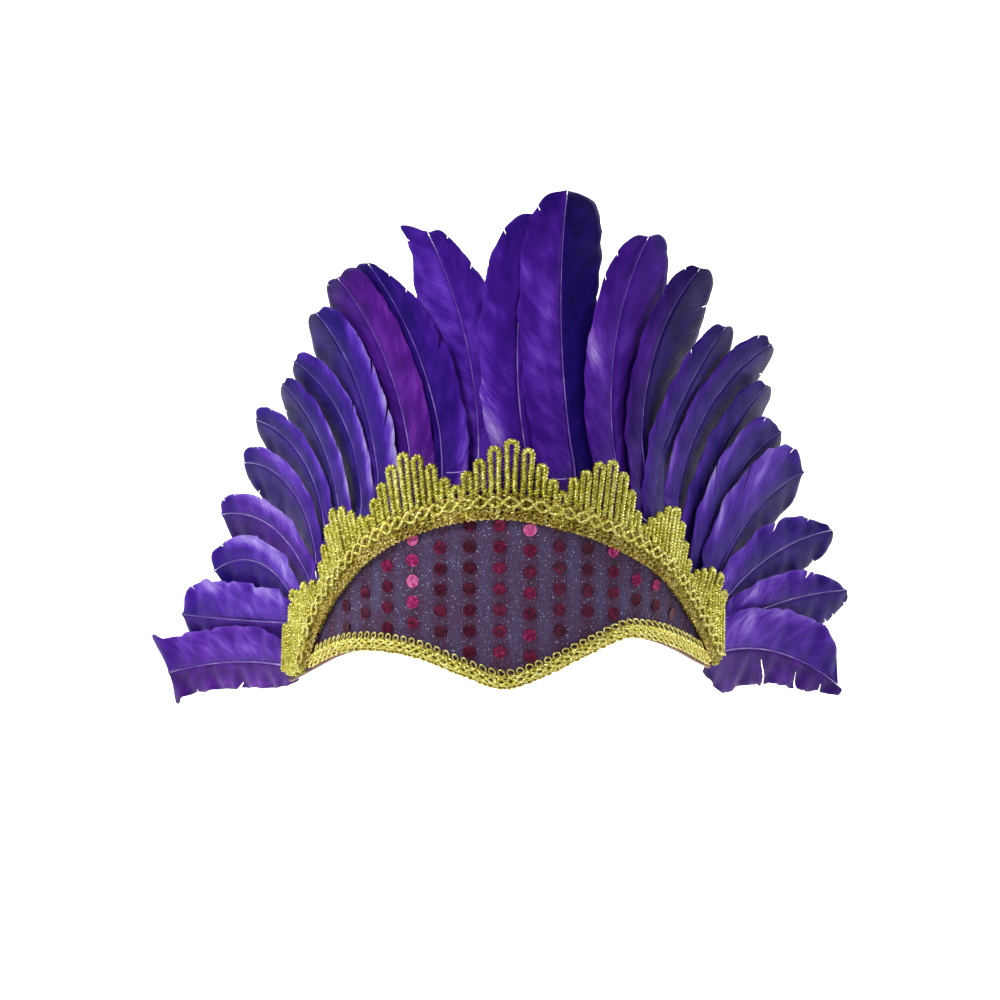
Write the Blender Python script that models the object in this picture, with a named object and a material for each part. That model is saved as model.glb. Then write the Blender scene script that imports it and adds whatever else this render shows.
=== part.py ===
"""Carnival feather headdress: a bent brow plate with a foil-dot cover, two gold gimp trims and a feather fan.

Every piece is drawn on the plate's own curved surface, as it would be cut flat and then bent round the head:
s runs sideways along the plate's curve from its middle, z is the height above the brow, and n stands out from
the plate's inner face towards the front. The origin is the middle of that face, where it lies on the brow.
"""
import math

import bmesh
import bpy
from mathutils import Vector
from mathutils.geometry import interpolate_bezier

for item in list(bpy.data.objects):
    bpy.data.objects.remove(item, do_unlink=True)

MM = 0.001
CLEARANCE = 0.3 * MM

# The curve that the plate is bent to, seen from above
BROW_RADIUS = 87 * MM
BROW_ARC_LENGTH = 82 * MM
PLATE_HALF_LENGTH = 130 * MM
FLARE_LENGTH = 110 * MM
FLARE_RADIUS = 450 * MM

# Plate, cover and trims
PLATE_RISE = 51 * MM
PLATE_THICKNESS = 2.0 * MM
COVER_THICKNESS = 1.0 * MM
COVER_MARGIN = 0.8 * MM
TAPE_WIDTH = 11 * MM
TAPE_THICKNESS = 1.8 * MM
LOOP_HEIGHT = 23.5 * MM
LOOP_PITCH = 5.4 * MM
LOOP_GAP = 0.7 * MM
SLOT_WIDTH = 1.0 * MM
CORD_WIDTH = 2.2 * MM
BRAID_WIDTH = 9 * MM
BRAID_THICKNESS = 2.4 * MM

# Feathers
FEATHER_LENGTH = 110 * MM
VANE_WIDTH = 18 * MM
VANE_THICKNESS = 0.6 * MM
QUILL_RADIUS = 1.2 * MM
RACHIS_RADIUS = 0.8 * MM
SET_BACK = 6.5 * MM
VANE_TILT = 0.2
VANE_CAMBER = 2.5
SETTLE_LENGTH = 32 * MM
FAN_LEAN = 11 * MM
FAN_OPENING = 0.6
FAN_HEIGHT = 145 * MM
FAN_FOOT = 40 * MM

# Elastic band round the back of the head
BAND_WIDTH = 12 * MM
BAND_THICKNESS = 1.2 * MM
BAND_HEIGHT = 5 * MM
BAND_SEAT = 60 * MM
BAND_LEAVES = 75 * MM
BAND_HEADING = math.radians(77)
HEAD_DEPTH = 190 * MM
BAND_PULL = 68 * MM

# Upper edge of the cover that shows: share of PLATE_HALF_LENGTH, share of PLATE_RISE
COVER_EDGE = (
    (-0.81, -0.41),
    (-0.72, -0.03),
    (-0.555, 0.39),
    (-0.39, 0.715),
    (-0.19, 0.935),
    (0.0, 1.0),
    (0.195, 0.90),
    (0.375, 0.72),
    (0.57, 0.44),
    (0.755, 0.04),
    (0.915, -0.42),
)

# Lower edge of the plate with its V: share of PLATE_HALF_LENGTH, share of PLATE_RISE
LOWER_EDGE = (
    (-1.0, -0.615),
    (-0.77, -0.375),
    (-0.66, -0.265),
    (-0.535, -0.175),
    (-0.40, -0.145),
    (-0.265, -0.18),
    (-0.12, -0.31),
    (0.0, -0.41),
    (0.12, -0.32),
    (0.26, -0.16),
    (0.405, -0.035),
    (0.49, -0.055),
    (0.59, -0.12),
    (0.72, -0.235),
    (0.85, -0.37),
    (0.96, -0.48),
)

# Upper edge of the plate, hidden by the tape: share of PLATE_HALF_LENGTH, share of PLATE_RISE
PLATE_EDGE = (
    (-0.985, -0.58),
    (-0.93, -0.37),
    (-0.86, -0.13),
    (-0.78, 0.08),
    (-0.68, 0.35),
    (-0.57, 0.61),
    (-0.45, 0.83),
    (-0.32, 0.99),
    (-0.19, 1.12),
    (0.0, 1.18),
    (0.19, 1.07),
    (0.32, 0.97),
    (0.45, 0.79),
    (0.57, 0.62),
    (0.685, 0.40),
    (0.79, 0.13),
    (0.87, -0.10),
    (0.94, -0.42),
)

# Loops of one scallop, from its left valley on: share of LOOP_HEIGHT
SCALLOP = (0.25, 0.46, 0.65, 0.87, 1.0, 0.87, 0.64, 0.42)

# How far the tape's cross threads and its loops lean, as a share of its slope, and the fan at its two ends
THREAD_LEAN = 0.6
LOOP_LEAN = 0.3
LEFT_FAN = math.radians(-112)
RIGHT_FAN = math.radians(64)
FAN_SHARPNESS = 4.5

# Feathers. seat: where the quill is glued on the plate's back; edge: where the vane comes out past the trim
# (both: share of PLATE_HALF_LENGTH, share of PLATE_RISE). angle: lean from upright at the edge, and turn: how
# much further it curls to its tip, in degrees, to the right positive. length: from edge to tip, share of
# FEATHER_LENGTH. inner, outer: vane widths, share of VANE_WIDTH. back: share of SET_BACK. foot: share of the
# hidden stretch that is bare quill. tip: shape of its end.
FEATHERS = (
    # name, seat s, seat z, edge s, edge z, angle, turn, length, inner, outer, back, foot, tip
    ("left_1", -0.815, -0.35, -1.10, -0.49, -92, -15, 0.88, 1.05, 0.80, 0.1, 0.65, "blunt"),
    ("left_2", -0.79, -0.225, -1.11, -0.10, -95, 4, 0.77, 1.10, 0.95, 0.25, 0.65, "round"),
    ("left_3", -0.77, -0.12, -1.02, 0.12, -47, -73, 0.74, 0.75, 1.15, 0.4, 0.60, "round"),
    ("left_4", -0.745, -0.01, -0.94, 0.36, -44, -57, 0.76, 0.60, 1.20, 0.6, 0.70, "round"),
    ("left_5", -0.715, 0.10, -0.915, 0.57, -17, -78, 0.70, 0.55, 1.25, 0.93, 0.80, "round"),
    ("left_6", -0.67, 0.22, -0.87, 0.76, -7, -64, 0.67, 0.62, 1.30, 1.18, 0.60, "round"),
    ("left_7", -0.61, 0.34, -0.76, 0.93, -9, -31, 0.63, 0.70, 1.30, 1.1, 0.30, "round"),
    ("left_8", -0.545, 0.46, -0.63, 1.05, 0, -64, 0.72, 0.65, 1.30, 1.3, 0.15, "round"),
    ("left_9", -0.445, 0.66, -0.51, 1.30, -7, -34, 0.71, 0.85, 1.35, 1.15, 0.05, "round"),
    ("left_10", -0.33, 0.82, -0.355, 1.55, -9, -33, 0.73, 0.75, 1.35, 1.05, 0.05, "blunt"),
    ("left_11", -0.21, 0.94, -0.23, 1.70, -11, -28, 0.75, 0.80, 1.25, 1.0, 0.05, "round"),
    ("left_12", -0.09, 0.98, -0.09, 1.64, -2, -25, 0.84, 1.00, 1.10, 1.4, 0.05, "point"),
    ("right_1", 0.06, 0.98, 0.075, 1.65, -10, 27, 0.88, 0.95, 1.05, 1.0, 0.05, "round"),
    ("right_2", 0.215, 0.88, 0.25, 1.58, -10, 16, 1.00, 1.08, 1.15, 1.0, 0.05, "round"),
    ("right_3", 0.36, 0.73, 0.43, 1.55, -11, 37, 0.86, 0.95, 1.45, 1.0, 0.05, "round"),
    ("right_4", 0.47, 0.57, 0.575, 1.62, -3, 41, 0.75, 0.65, 1.45, 1.05, 0.05, "round"),
    ("right_5", 0.56, 0.39, 0.70, 1.53, 28, 4, 0.60, 0.65, 1.40, 0.98, 0.05, "round"),
    ("right_6", 0.645, 0.22, 0.84, 1.08, 11, 48, 0.81, 0.85, 1.35, 1.15, 0.10, "blunt"),
    ("right_7", 0.71, 0.10, 0.925, 0.68, 22, 21, 0.76, 0.80, 1.35, 1.0, 0.30, "round"),
    ("right_8", 0.775, -0.01, 0.98, 0.36, 17, 32, 0.66, 0.90, 1.20, 0.72, 0.50, "round"),
    ("right_9", 0.815, -0.095, 1.08, 0.29, 38, 36, 0.80, 1.05, 1.05, 0.65, 0.55, "round"),
    ("right_10", 0.83, -0.175, 1.105, 0.07, 59, 27, 0.88, 1.05, 1.05, 0.5, 0.55, "blunt"),
    ("right_11", 0.845, -0.26, 1.155, -0.14, 78, 14, 0.89, 0.95, 1.00, 0.33, 0.60, "round"),
    ("right_12", 0.865, -0.345, 1.05, -0.36, 88, 35, 1.02, 1.10, 1.10, 0.08, 0.60, "blunt"),
)

# Outline of a vane from its foot to its tip: share of its length, share of its width, for each kind of tip
VANE_OUTLINES = {
    "round": ((0.0, 0.07), (0.08, 0.46), (0.20, 0.74), (0.40, 0.95), (0.60, 1.0), (0.78, 0.97),
              (0.90, 0.84), (0.965, 0.58), (1.0, 0.15)),
    "blunt": ((0.0, 0.07), (0.08, 0.46), (0.20, 0.74), (0.40, 0.90), (0.60, 1.0), (0.78, 1.0),
              (0.91, 0.92), (0.975, 0.66), (1.0, 0.25)),
    "point": ((0.0, 0.07), (0.08, 0.46), (0.20, 0.74), (0.40, 0.95), (0.60, 1.0), (0.76, 0.90),
              (0.88, 0.62), (0.955, 0.33), (1.0, 0.06)),
}

COLOURS = {
    "plate": ((0.46, 0.30, 0.22, 1.0), 0.9, 0.0),
    "cover": ((0.09, 0.04, 0.13, 1.0), 0.7, 0.0),
    "gimp": ((0.50, 0.42, 0.05, 1.0), 0.35, 0.8),
    "feather": ((0.055, 0.015, 0.25, 1.0), 0.55, 0.0),
    "elastic": ((0.02, 0.02, 0.02, 1.0), 0.85, 0.0),
}

# How finely the curved pieces are cut into flats
SHEET_RINGS = 48
BRAID_RINGS = 44
TAPE_STEPS = 160
QUILL_STEPS = 12
CURL_STEPS = 24
BAND_SEAT_STEPS = 3
BAND_STEPS = 14

# A quill's bend towards the trim, as a share of the way there, and the share of a vane over which it thins
QUILL_SWEEP = 0.45
QUILL_TAPER = 0.4
RACHIS_ENDS = 0.9

COVER_BACK = PLATE_THICKNESS + CLEARANCE
TRIM_BACK = COVER_BACK + COVER_THICKNESS + CLEARANCE
QUILL_BACK = -(CLEARANCE + QUILL_RADIUS)


def make_material(name):
    colour, roughness, metallic = COLOURS[name]
    material = bpy.data.materials.new(name)
    material.use_nodes = True
    shader = material.node_tree.nodes["Principled BSDF"]
    shader.inputs["Base Color"].default_value = colour
    shader.inputs["Roughness"].default_value = roughness
    shader.inputs["Metallic"].default_value = metallic
    return material


MATERIALS = {name: make_material(name) for name in COLOURS}


def smooth(rows, x):
    """Reads a table of (x, y) rows with a smooth curve through its rows."""
    slopes = []
    for i, row in enumerate(rows):
        before = rows[max(i - 1, 0)]
        after = rows[min(i + 1, len(rows) - 1)]
        slopes.append((after[1] - before[1]) / (after[0] - before[0]))
    i = 0
    while i < len(rows) - 2 and x > rows[i + 1][0]:
        i += 1
    width = rows[i + 1][0] - rows[i][0]
    t = (x - rows[i][0]) / width
    if t < 0:
        return rows[i][1] + slopes[i] * (x - rows[i][0])
    if t > 1:
        return rows[i + 1][1] + slopes[i + 1] * (x - rows[i + 1][0])
    h = t * t * (3 - 2 * t)
    left = rows[i][1] + slopes[i] * width * t * (1 - t) ** 2
    right = -slopes[i + 1] * width * t * t * (1 - t)
    return left + h * (rows[i + 1][1] - rows[i][1]) + right


def edge_height(rows, s):
    """Height of an edge table at the place s along the plate."""
    return PLATE_RISE * smooth(rows, s / PLATE_HALF_LENGTH)


def plan(s, opening):
    """Place and heading of the bend at s: a round brow, straight sides, then a slow flare outwards.

    opening is the share by which the whole bend is opened out flat."""
    reach = abs(s)
    x = y = heading = 0.0
    stretches = (
        (BROW_ARC_LENGTH, 1 / BROW_RADIUS),
        (PLATE_HALF_LENGTH - BROW_ARC_LENGTH, 0.0),
        (FLARE_LENGTH, -1 / FLARE_RADIUS),
        (reach, 0.0),
    )
    for length, bend in stretches:
        step = min(length, reach)
        bend *= 1 - opening
        if bend:
            turned = heading + step * bend
            x += (math.sin(turned) - math.sin(heading)) / bend
            y += (math.cos(heading) - math.cos(turned)) / bend
            heading = turned
        else:
            x += step * math.cos(heading)
            y += step * math.sin(heading)
        reach -= step
    return math.copysign(x, s), y, math.copysign(heading, s)


def place(s, z, n):
    """Point in space of the flat drawing's (s, z) that stands n in front of the plate's inner face."""
    rise = (min(max(z - FAN_FOOT, 0.0) / FAN_HEIGHT, 1.0)) ** 2
    x, y, heading = plan(s, FAN_OPENING * rise)
    return Vector((x + n * math.sin(heading), y - n * math.cos(heading) + FAN_LEAN * rise, z))


def add_object(name, mesh_data, material):
    item = bpy.data.objects.new(name, mesh_data)
    mesh_data.materials.append(MATERIALS[material])
    bpy.context.scene.collection.objects.link(item)
    return item


def loft(name, rings, material, closed=False):
    """One closed solid through rings of points, with flat ends unless it closes on itself."""
    bm = bmesh.new()
    loops = [[bm.verts.new(point) for point in ring] for ring in rings]
    count = len(loops[0])
    pairs = list(zip(loops, loops[1:]))
    if closed:
        pairs.append((loops[-1], loops[0]))
    else:
        bm.faces.new(reversed(loops[0]))
        bm.faces.new(loops[-1])
    for low, high in pairs:
        for i in range(count):
            j = (i + 1) % count
            bm.faces.new((low[i], low[j], high[j], high[i]))
    bmesh.ops.recalc_face_normals(bm, faces=bm.faces)
    mesh_data = bpy.data.meshes.new(name)
    bm.to_mesh(mesh_data)
    bm.free()
    return add_object(name, mesh_data, material)


def sheet_rings(low_edge, high_edge, start, end, back, thickness):
    """Rings of an upright sheet between two edges, which are functions of s."""
    rings = []
    for i in range(SHEET_RINGS):
        s = start + (end - start) * i / (SHEET_RINGS - 1)
        low = low_edge(s)
        high = max(high_edge(s), low + PLATE_THICKNESS)
        rings.append([
            place(s, low, back),
            place(s, low, back + thickness),
            place(s, high, back + thickness),
            place(s, high, back),
        ])
    return rings


def build_plate():
    rings = sheet_rings(
        lambda s: edge_height(LOWER_EDGE, s),
        lambda s: edge_height(PLATE_EDGE, s),
        PLATE_EDGE[0][0] * PLATE_HALF_LENGTH,
        PLATE_EDGE[-1][0] * PLATE_HALF_LENGTH,
        0.0, PLATE_THICKNESS)
    loft("backing_plate", rings, "plate")


def build_cover():
    rings = sheet_rings(
        lambda s: edge_height(LOWER_EDGE, s) + COVER_MARGIN,
        lambda s: edge_height(PLATE_EDGE, s) - COVER_MARGIN,
        PLATE_EDGE[0][0] * PLATE_HALF_LENGTH + COVER_MARGIN,
        PLATE_EDGE[-1][0] * PLATE_HALF_LENGTH - COVER_MARGIN,
        COVER_BACK, COVER_THICKNESS)
    loft("sequin_fabric", rings, "cover")


def meeting(side, height):
    """s at which the cover's upper edge has come down to `height` above the plate's lower edge."""
    near = 0.0
    far = side * PLATE_HALF_LENGTH
    for _ in range(40):
        middle = (near + far) / 2
        if edge_height(COVER_EDGE, middle) > edge_height(LOWER_EDGE, middle) + height:
            near = middle
        else:
            far = middle
    return near


def build_lower_braid():
    """A flat rounded tape on the cover's lower margin, whose ends butt against the scalloped tape."""
    lip = COVER_MARGIN
    section = (
        (lip, 0.0), (lip, 0.7), (lip + 0.12 * BRAID_WIDTH, 1.0),
        (BRAID_WIDTH - 0.12 * BRAID_WIDTH, 1.0), (BRAID_WIDTH, 0.7), (BRAID_WIDTH, 0.0),
    )
    rings = []
    for i in range(BRAID_RINGS):
        q = i / (BRAID_RINGS - 1)
        ring = []
        for height, depth in section:
            start = meeting(-1, height) + 2 * CLEARANCE
            end = meeting(1, height) - 2 * CLEARANCE
            s = start + (end - start) * q
            ring.append(place(s, edge_height(LOWER_EDGE, s) + height, TRIM_BACK + BRAID_THICKNESS * depth))
        rings.append(ring)
    loft("lower_braid", rings, "gimp")


def tape_line():
    """The tape's inner edge as points (s, z) with the length run along it from the middle."""
    start = meeting(-1, 0.0)
    end = meeting(1, 0.0)
    points = []
    for i in range(TAPE_STEPS + 1):
        s = start + (end - start) * i / TAPE_STEPS
        points.append((s, edge_height(COVER_EDGE, s)))
    runs = [0.0]
    for (s0, z0), (s1, z1) in zip(points, points[1:]):
        runs.append(runs[-1] + math.hypot(s1 - s0, z1 - z0))
    middle = next(run for run, point in zip(runs, points) if point[0] >= 0)
    return [(run - middle, s, z) for run, (s, z) in zip(runs, points)]


TAPE_LINE = tape_line()


def tape_point(run):
    """Point (s, z) of the tape's inner edge and its slope, at a length along it from the middle."""
    i = 0
    while i < len(TAPE_LINE) - 2 and run > TAPE_LINE[i + 1][0]:
        i += 1
    r0, s0, z0 = TAPE_LINE[i]
    r1, s1, z1 = TAPE_LINE[i + 1]
    t = (run - r0) / (r1 - r0)
    return s0 + (s1 - s0) * t, z0 + (z1 - z0) * t, math.atan2(z1 - z0, s1 - s0)


def tape_lean(run, share):
    """Lean of the tape's threads or loops at a length along it, fanning out to the tape's cut ends."""
    slope = tape_point(run)[2]
    left = run < 0
    end = TAPE_LINE[0][0] if left else TAPE_LINE[-1][0]
    fan = LEFT_FAN if left else RIGHT_FAN
    weight = (run / end) ** FAN_SHARPNESS
    return -slope * share * (1 - weight) + fan * weight


def build_scalloped_trim():
    """The gimp tape as one cut-through sheet: a base tape and upright loops, each with its slot."""
    first = math.floor(TAPE_LINE[0][0] / LOOP_PITCH)
    last = math.floor(TAPE_LINE[-1][0] / LOOP_PITCH)
    bm = bmesh.new()
    made = {}

    def vertex(run, rise):
        key = (round(run / CLEARANCE * 10), round(rise / CLEARANCE * 10))
        if key not in made:
            s, z, _ = tape_point(run)
            lean = tape_lean(run, THREAD_LEAN)
            base = min(rise, TAPE_WIDTH)
            s += base * math.sin(lean)
            z += base * math.cos(lean)
            centre = (math.floor(run / LOOP_PITCH) + 0.5) * LOOP_PITCH
            lean = tape_lean(centre, LOOP_LEAN)
            s += (rise - base) * math.sin(lean)
            z += (rise - base) * math.cos(lean)
            made[key] = bm.verts.new(place(s, z, TRIM_BACK + TAPE_THICKNESS / 2))
        return made[key]

    for index in range(first, last):
        left = index * LOOP_PITCH
        right = left + LOOP_PITCH
        centre = left + LOOP_PITCH / 2
        a = left + LOOP_GAP / 2
        b = centre - SLOT_WIDTH / 2
        c = centre + SLOT_WIDTH / 2
        d = right - LOOP_GAP / 2
        place_in_scallop = (index + len(SCALLOP) // 2) % len(SCALLOP)
        height = TAPE_WIDTH + LOOP_HEIGHT * SCALLOP[place_in_scallop]
        shoulder = height - CORD_WIDTH
        columns = (left, a, b, c, d, right)
        for low, high in zip(columns, columns[1:]):
            bm.faces.new((vertex(low, 0), vertex(high, 0), vertex(high, TAPE_WIDTH), vertex(low, TAPE_WIDTH)))
        for low, high in ((a, b), (c, d)):
            bm.faces.new((
                vertex(low, TAPE_WIDTH), vertex(high, TAPE_WIDTH),
                vertex(high, shoulder), vertex(low, shoulder)))
        crown_left = (a + b) / 2
        crown_right = (c + d) / 2
        bm.faces.new((vertex(a, shoulder), vertex(b, shoulder), vertex(crown_left, height)))
        bm.faces.new((
            vertex(b, shoulder), vertex(c, shoulder),
            vertex(crown_right, height), vertex(crown_left, height)))
        bm.faces.new((vertex(c, shoulder), vertex(d, shoulder), vertex(crown_right, height)))
    mesh_data = bpy.data.meshes.new("scalloped_trim")
    bm.to_mesh(mesh_data)
    bm.free()
    item = add_object("scalloped_trim", mesh_data, "gimp")
    wall = item.modifiers.new("thickness", "SOLIDIFY")
    wall.thickness = TAPE_THICKNESS
    wall.offset = 0.0


def feather_path(row):
    """Points along a feather's axis as (s, z, angle, length so far), and the length at the trim's edge."""
    _, seat_s, seat_z, edge_s, edge_z, angle, turn, length = row[:8]
    seat = Vector((seat_s * PLATE_HALF_LENGTH, seat_z * PLATE_RISE))
    edge = Vector((edge_s * PLATE_HALF_LENGTH, edge_z * PLATE_RISE))
    angle = math.radians(angle)
    turn = math.radians(turn)
    heading = Vector((math.sin(angle), math.cos(angle)))
    handle = edge - heading * (edge - seat).length * QUILL_SWEEP
    first = seat + (handle - seat) * 0.5
    path = []
    run = 0.0
    previous = seat
    for point in interpolate_bezier(seat, first, handle, edge, QUILL_STEPS):
        flat = Vector(point[:2])
        step = flat - previous
        run += step.length
        toward = math.atan2(step.x, step.y) if step.length else math.atan2(*(first - seat))
        path.append((flat.x, flat.y, toward, run))
        previous = flat
    hidden = run
    step = length * FEATHER_LENGTH / CURL_STEPS
    for i in range(CURL_STEPS):
        toward = angle + turn * (i + 0.5) / CURL_STEPS
        previous = previous + step * Vector((math.sin(toward), math.cos(toward)))
        run += step
        path.append((previous.x, previous.y, toward, run))
    return path, hidden


def on_path(path, run):
    """Point and angle of a feather's axis at a length along it."""
    i = 0
    while i < len(path) - 2 and run > path[i + 1][3]:
        i += 1
    low = path[i]
    high = path[i + 1]
    t = (run - low[3]) / (high[3] - low[3])
    return [low[k] + (high[k] - low[k]) * t for k in range(3)]


def build_feather(row):
    """A quill and its two vanes: cambered, and tilted so that each feather lies on the next one inwards."""
    name = row[0]
    inner, outer, back, foot, tip = row[8:]
    side = 1 if name.startswith("right") else -1
    tilt = 0.0 if name == "left_12" else VANE_TILT
    path, hidden = feather_path(row)
    total = path[-1][3]
    foot_run = foot * hidden
    outline = VANE_OUTLINES[tip]
    stations = [0.0] if foot_run > 2 * QUILL_RADIUS else []
    stations += [foot_run + share * (total - foot_run) for share, _ in outline]
    rings = []
    for run in stations:
        s, z, angle = on_path(path, run)
        share = max((run - foot_run) / (total - foot_run), 0.0)
        width = max(smooth(outline, share), 0.0) * VANE_WIDTH
        shaft = QUILL_RADIUS + (RACHIS_RADIUS - QUILL_RADIUS) * min(share / QUILL_TAPER, 1.0)
        if share > RACHIS_ENDS:
            shaft = VANE_THICKNESS * 0.7
        settled = min(max(1 - (hidden - run) / SETTLE_LENGTH, 0.0), 1.0)
        axis_n = QUILL_BACK - SET_BACK * back * settled
        half = VANE_THICKNESS / 2
        places = (
            (-max(inner * width, shaft), half),
            (-max(inner * width * 0.5, shaft * 0.7), half),
            (0.0, shaft),
            (max(outer * width * 0.5, shaft * 0.7), half),
            (max(outer * width, shaft), half),
        )
        front = []
        rear = []
        for across, thick in places:
            point_s = s + side * across * math.cos(angle)
            point_z = z - side * across * math.sin(angle)
            n = axis_n - tilt * across - VANE_CAMBER * across * across
            front.append(place(point_s, point_z, n + thick))
            rear.append(place(point_s, point_z, n - thick))
        rings.append(front + rear[::-1])
    loft("feather_" + name, rings, "feather")


def build_elastic():
    """A plain strap glued inside both plate ends, then led round the back of the head."""
    seat_n = -CLEARANCE - BAND_THICKNESS / 2
    side_points = []
    for i in range(BAND_SEAT_STEPS + 1):
        s = BAND_SEAT + (BAND_LEAVES - BAND_SEAT) * i / BAND_SEAT_STEPS
        point = place(s, BAND_HEIGHT, seat_n)
        side_points.append(point)
    leave = side_points[-1]
    back_middle = Vector((0.0, HEAD_DEPTH, BAND_HEIGHT))
    arc = interpolate_bezier(
        leave, leave + BAND_PULL * Vector((math.cos(BAND_HEADING), math.sin(BAND_HEADING), 0.0)),
        back_middle + Vector((BAND_PULL, 0.0, 0.0)), back_middle, BAND_STEPS)
    right = side_points[:-1] + [Vector(point) for point in arc]
    left = [Vector((-point.x, point.y, point.z)) for point in reversed(right[:-1])]
    line = right + left
    rings = []
    for i, point in enumerate(line):
        along = line[min(i + 1, len(line) - 1)] - line[max(i - 1, 0)]
        outward = Vector((along.y, -along.x, 0.0)).normalized() * BAND_THICKNESS / 2
        up = Vector((0.0, 0.0, BAND_WIDTH / 2))
        rings.append([point + outward - up, point + outward + up, point - outward + up, point - outward - up])
    loft("elastic_band", rings, "elastic")


build_plate()
build_cover()
build_lower_braid()
build_scalloped_trim()
for feather_row in FEATHERS:
    build_feather(feather_row)
build_elastic()
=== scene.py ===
"""Looks of the carnival feather headdress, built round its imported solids."""
import math
import random

import bpy
import numpy as np
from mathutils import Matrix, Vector
from mathutils.geometry import interpolate_bezier


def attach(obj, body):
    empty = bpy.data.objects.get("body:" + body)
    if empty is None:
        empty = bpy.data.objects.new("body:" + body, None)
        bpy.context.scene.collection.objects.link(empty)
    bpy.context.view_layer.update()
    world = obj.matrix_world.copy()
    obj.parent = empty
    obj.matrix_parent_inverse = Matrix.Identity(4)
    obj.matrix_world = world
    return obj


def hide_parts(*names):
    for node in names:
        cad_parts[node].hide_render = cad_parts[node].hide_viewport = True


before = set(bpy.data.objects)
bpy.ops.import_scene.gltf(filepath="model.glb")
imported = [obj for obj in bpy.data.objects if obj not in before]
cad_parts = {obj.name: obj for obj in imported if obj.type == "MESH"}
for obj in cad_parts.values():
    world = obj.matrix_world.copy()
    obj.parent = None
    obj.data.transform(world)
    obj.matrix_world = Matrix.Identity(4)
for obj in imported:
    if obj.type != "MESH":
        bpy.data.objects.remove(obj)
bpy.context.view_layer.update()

# Camera: level with the brow plate and looking down on it by 4 degrees, from three quarters of a metre
bpy.ops.object.camera_add(
    location=(-0.00126, -0.7482, 0.1113), rotation=(math.radians(86), 0, 0))
camera = bpy.context.object
camera.data.lens = 64.3
camera.data.sensor_width = 36
bpy.context.scene.camera = camera

# Backing plate: stiff craft felt, cut to the brow and bent round the head. Its cut edge and its back show.
# The solid has the right shape, so it keeps it and gets a matted, fibrous felt finish.


def linear(hex_colour):
    """An sRGB hex colour as linear red, green, blue and alpha."""
    parts = [int(hex_colour[i:i + 2], 16) / 255 for i in (1, 3, 5)]
    return [c / 12.92 if c <= 0.04045 else ((c + 0.055) / 1.055) ** 2.4 for c in parts] + [1.0]


def set_inputs(tree, node, inputs):
    """Sets or links a node's inputs, given as (socket, value) pairs."""
    for socket, value in inputs:
        if isinstance(value, bpy.types.NodeSocket):
            tree.links.new(value, node.inputs[socket])
        else:
            node.inputs[socket].default_value = value


def add_node(tree, kind, inputs=(), **settings):
    """Adds a shader node with its settings and its inputs."""
    made = tree.nodes.new("ShaderNode" + kind)
    for name, value in settings.items():
        setattr(made, name, value)
    set_inputs(tree, made, inputs)
    return made


def own_place(tree):
    """The place on the object, so that a texture stays on its piece."""
    return add_node(tree, "TexCoord").outputs["Object"]


def calculate(tree, operation, *values):
    """The result of a maths node."""
    return add_node(tree, "Math", enumerate(values), operation=operation).outputs[0]


def noise(tree, where, scale, detail=2.0, stretch=None):
    """The grey value of a noise texture."""
    if stretch:
        where = add_node(tree, "Mapping", [("Vector", where), ("Scale", stretch)]).outputs[0]
    made = add_node(tree, "TexNoise", [("Vector", where), ("Scale", scale), ("Detail", detail)])
    return made.outputs["Fac"]


def relief(tree, height, distance):
    """The normal of a surface with a fine relief, up to this distance deep."""
    return add_node(tree, "Bump", [("Height", height), ("Distance", distance)]).outputs["Normal"]


def new_material(name):
    """A material with its node tree and its Principled shader."""
    made = bpy.data.materials.new(name)
    made.use_nodes = True
    return made, made.node_tree, made.node_tree.nodes["Principled BSDF"]


def colour_steps(tree, value, *steps):
    """A colour ramp on `value` through (position, hex colour) steps."""
    ramp = add_node(tree, "ValToRGB", [("Fac", value)])
    while len(ramp.color_ramp.elements) < len(steps):
        ramp.color_ramp.elements.new(0.5)
    for element, (position, colour) in zip(ramp.color_ramp.elements, steps):
        element.position = position
        element.color = linear(colour)
    return ramp.outputs["Color"]


# Felt is wool or acrylic fibre, needled flat: matt, with a slight nap that lightens its edges.
felt, tree, shader = new_material("needled_felt")
where = own_place(tree)
fibres = noise(tree, where, 1800.0, 6.0)
tone = calculate(tree, "ADD", fibres, noise(tree, where, 60.0))
tone = calculate(tree, "MULTIPLY", tone, 0.5)
set_inputs(tree, shader, [
    ("Base Color", colour_steps(tree, tone, (0.3, "#5A3A30"), (0.5, "#8C6450"), (0.7, "#B08A70"))),
    ("Normal", relief(tree, fibres, 0.0004)), ("Roughness", 0.95), ("Sheen Weight", 0.3)])
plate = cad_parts["backing_plate"]
plate.data.materials.clear()
plate.data.materials.append(felt)

# Sequin fabric: a rib knit of dark plum yarn with metal glitter, stretched over the plate and glued down.
# Its ribs run upright, and plum ribs under the foil dots take turns with slate blue ones between them.
MM = 0.001
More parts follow.
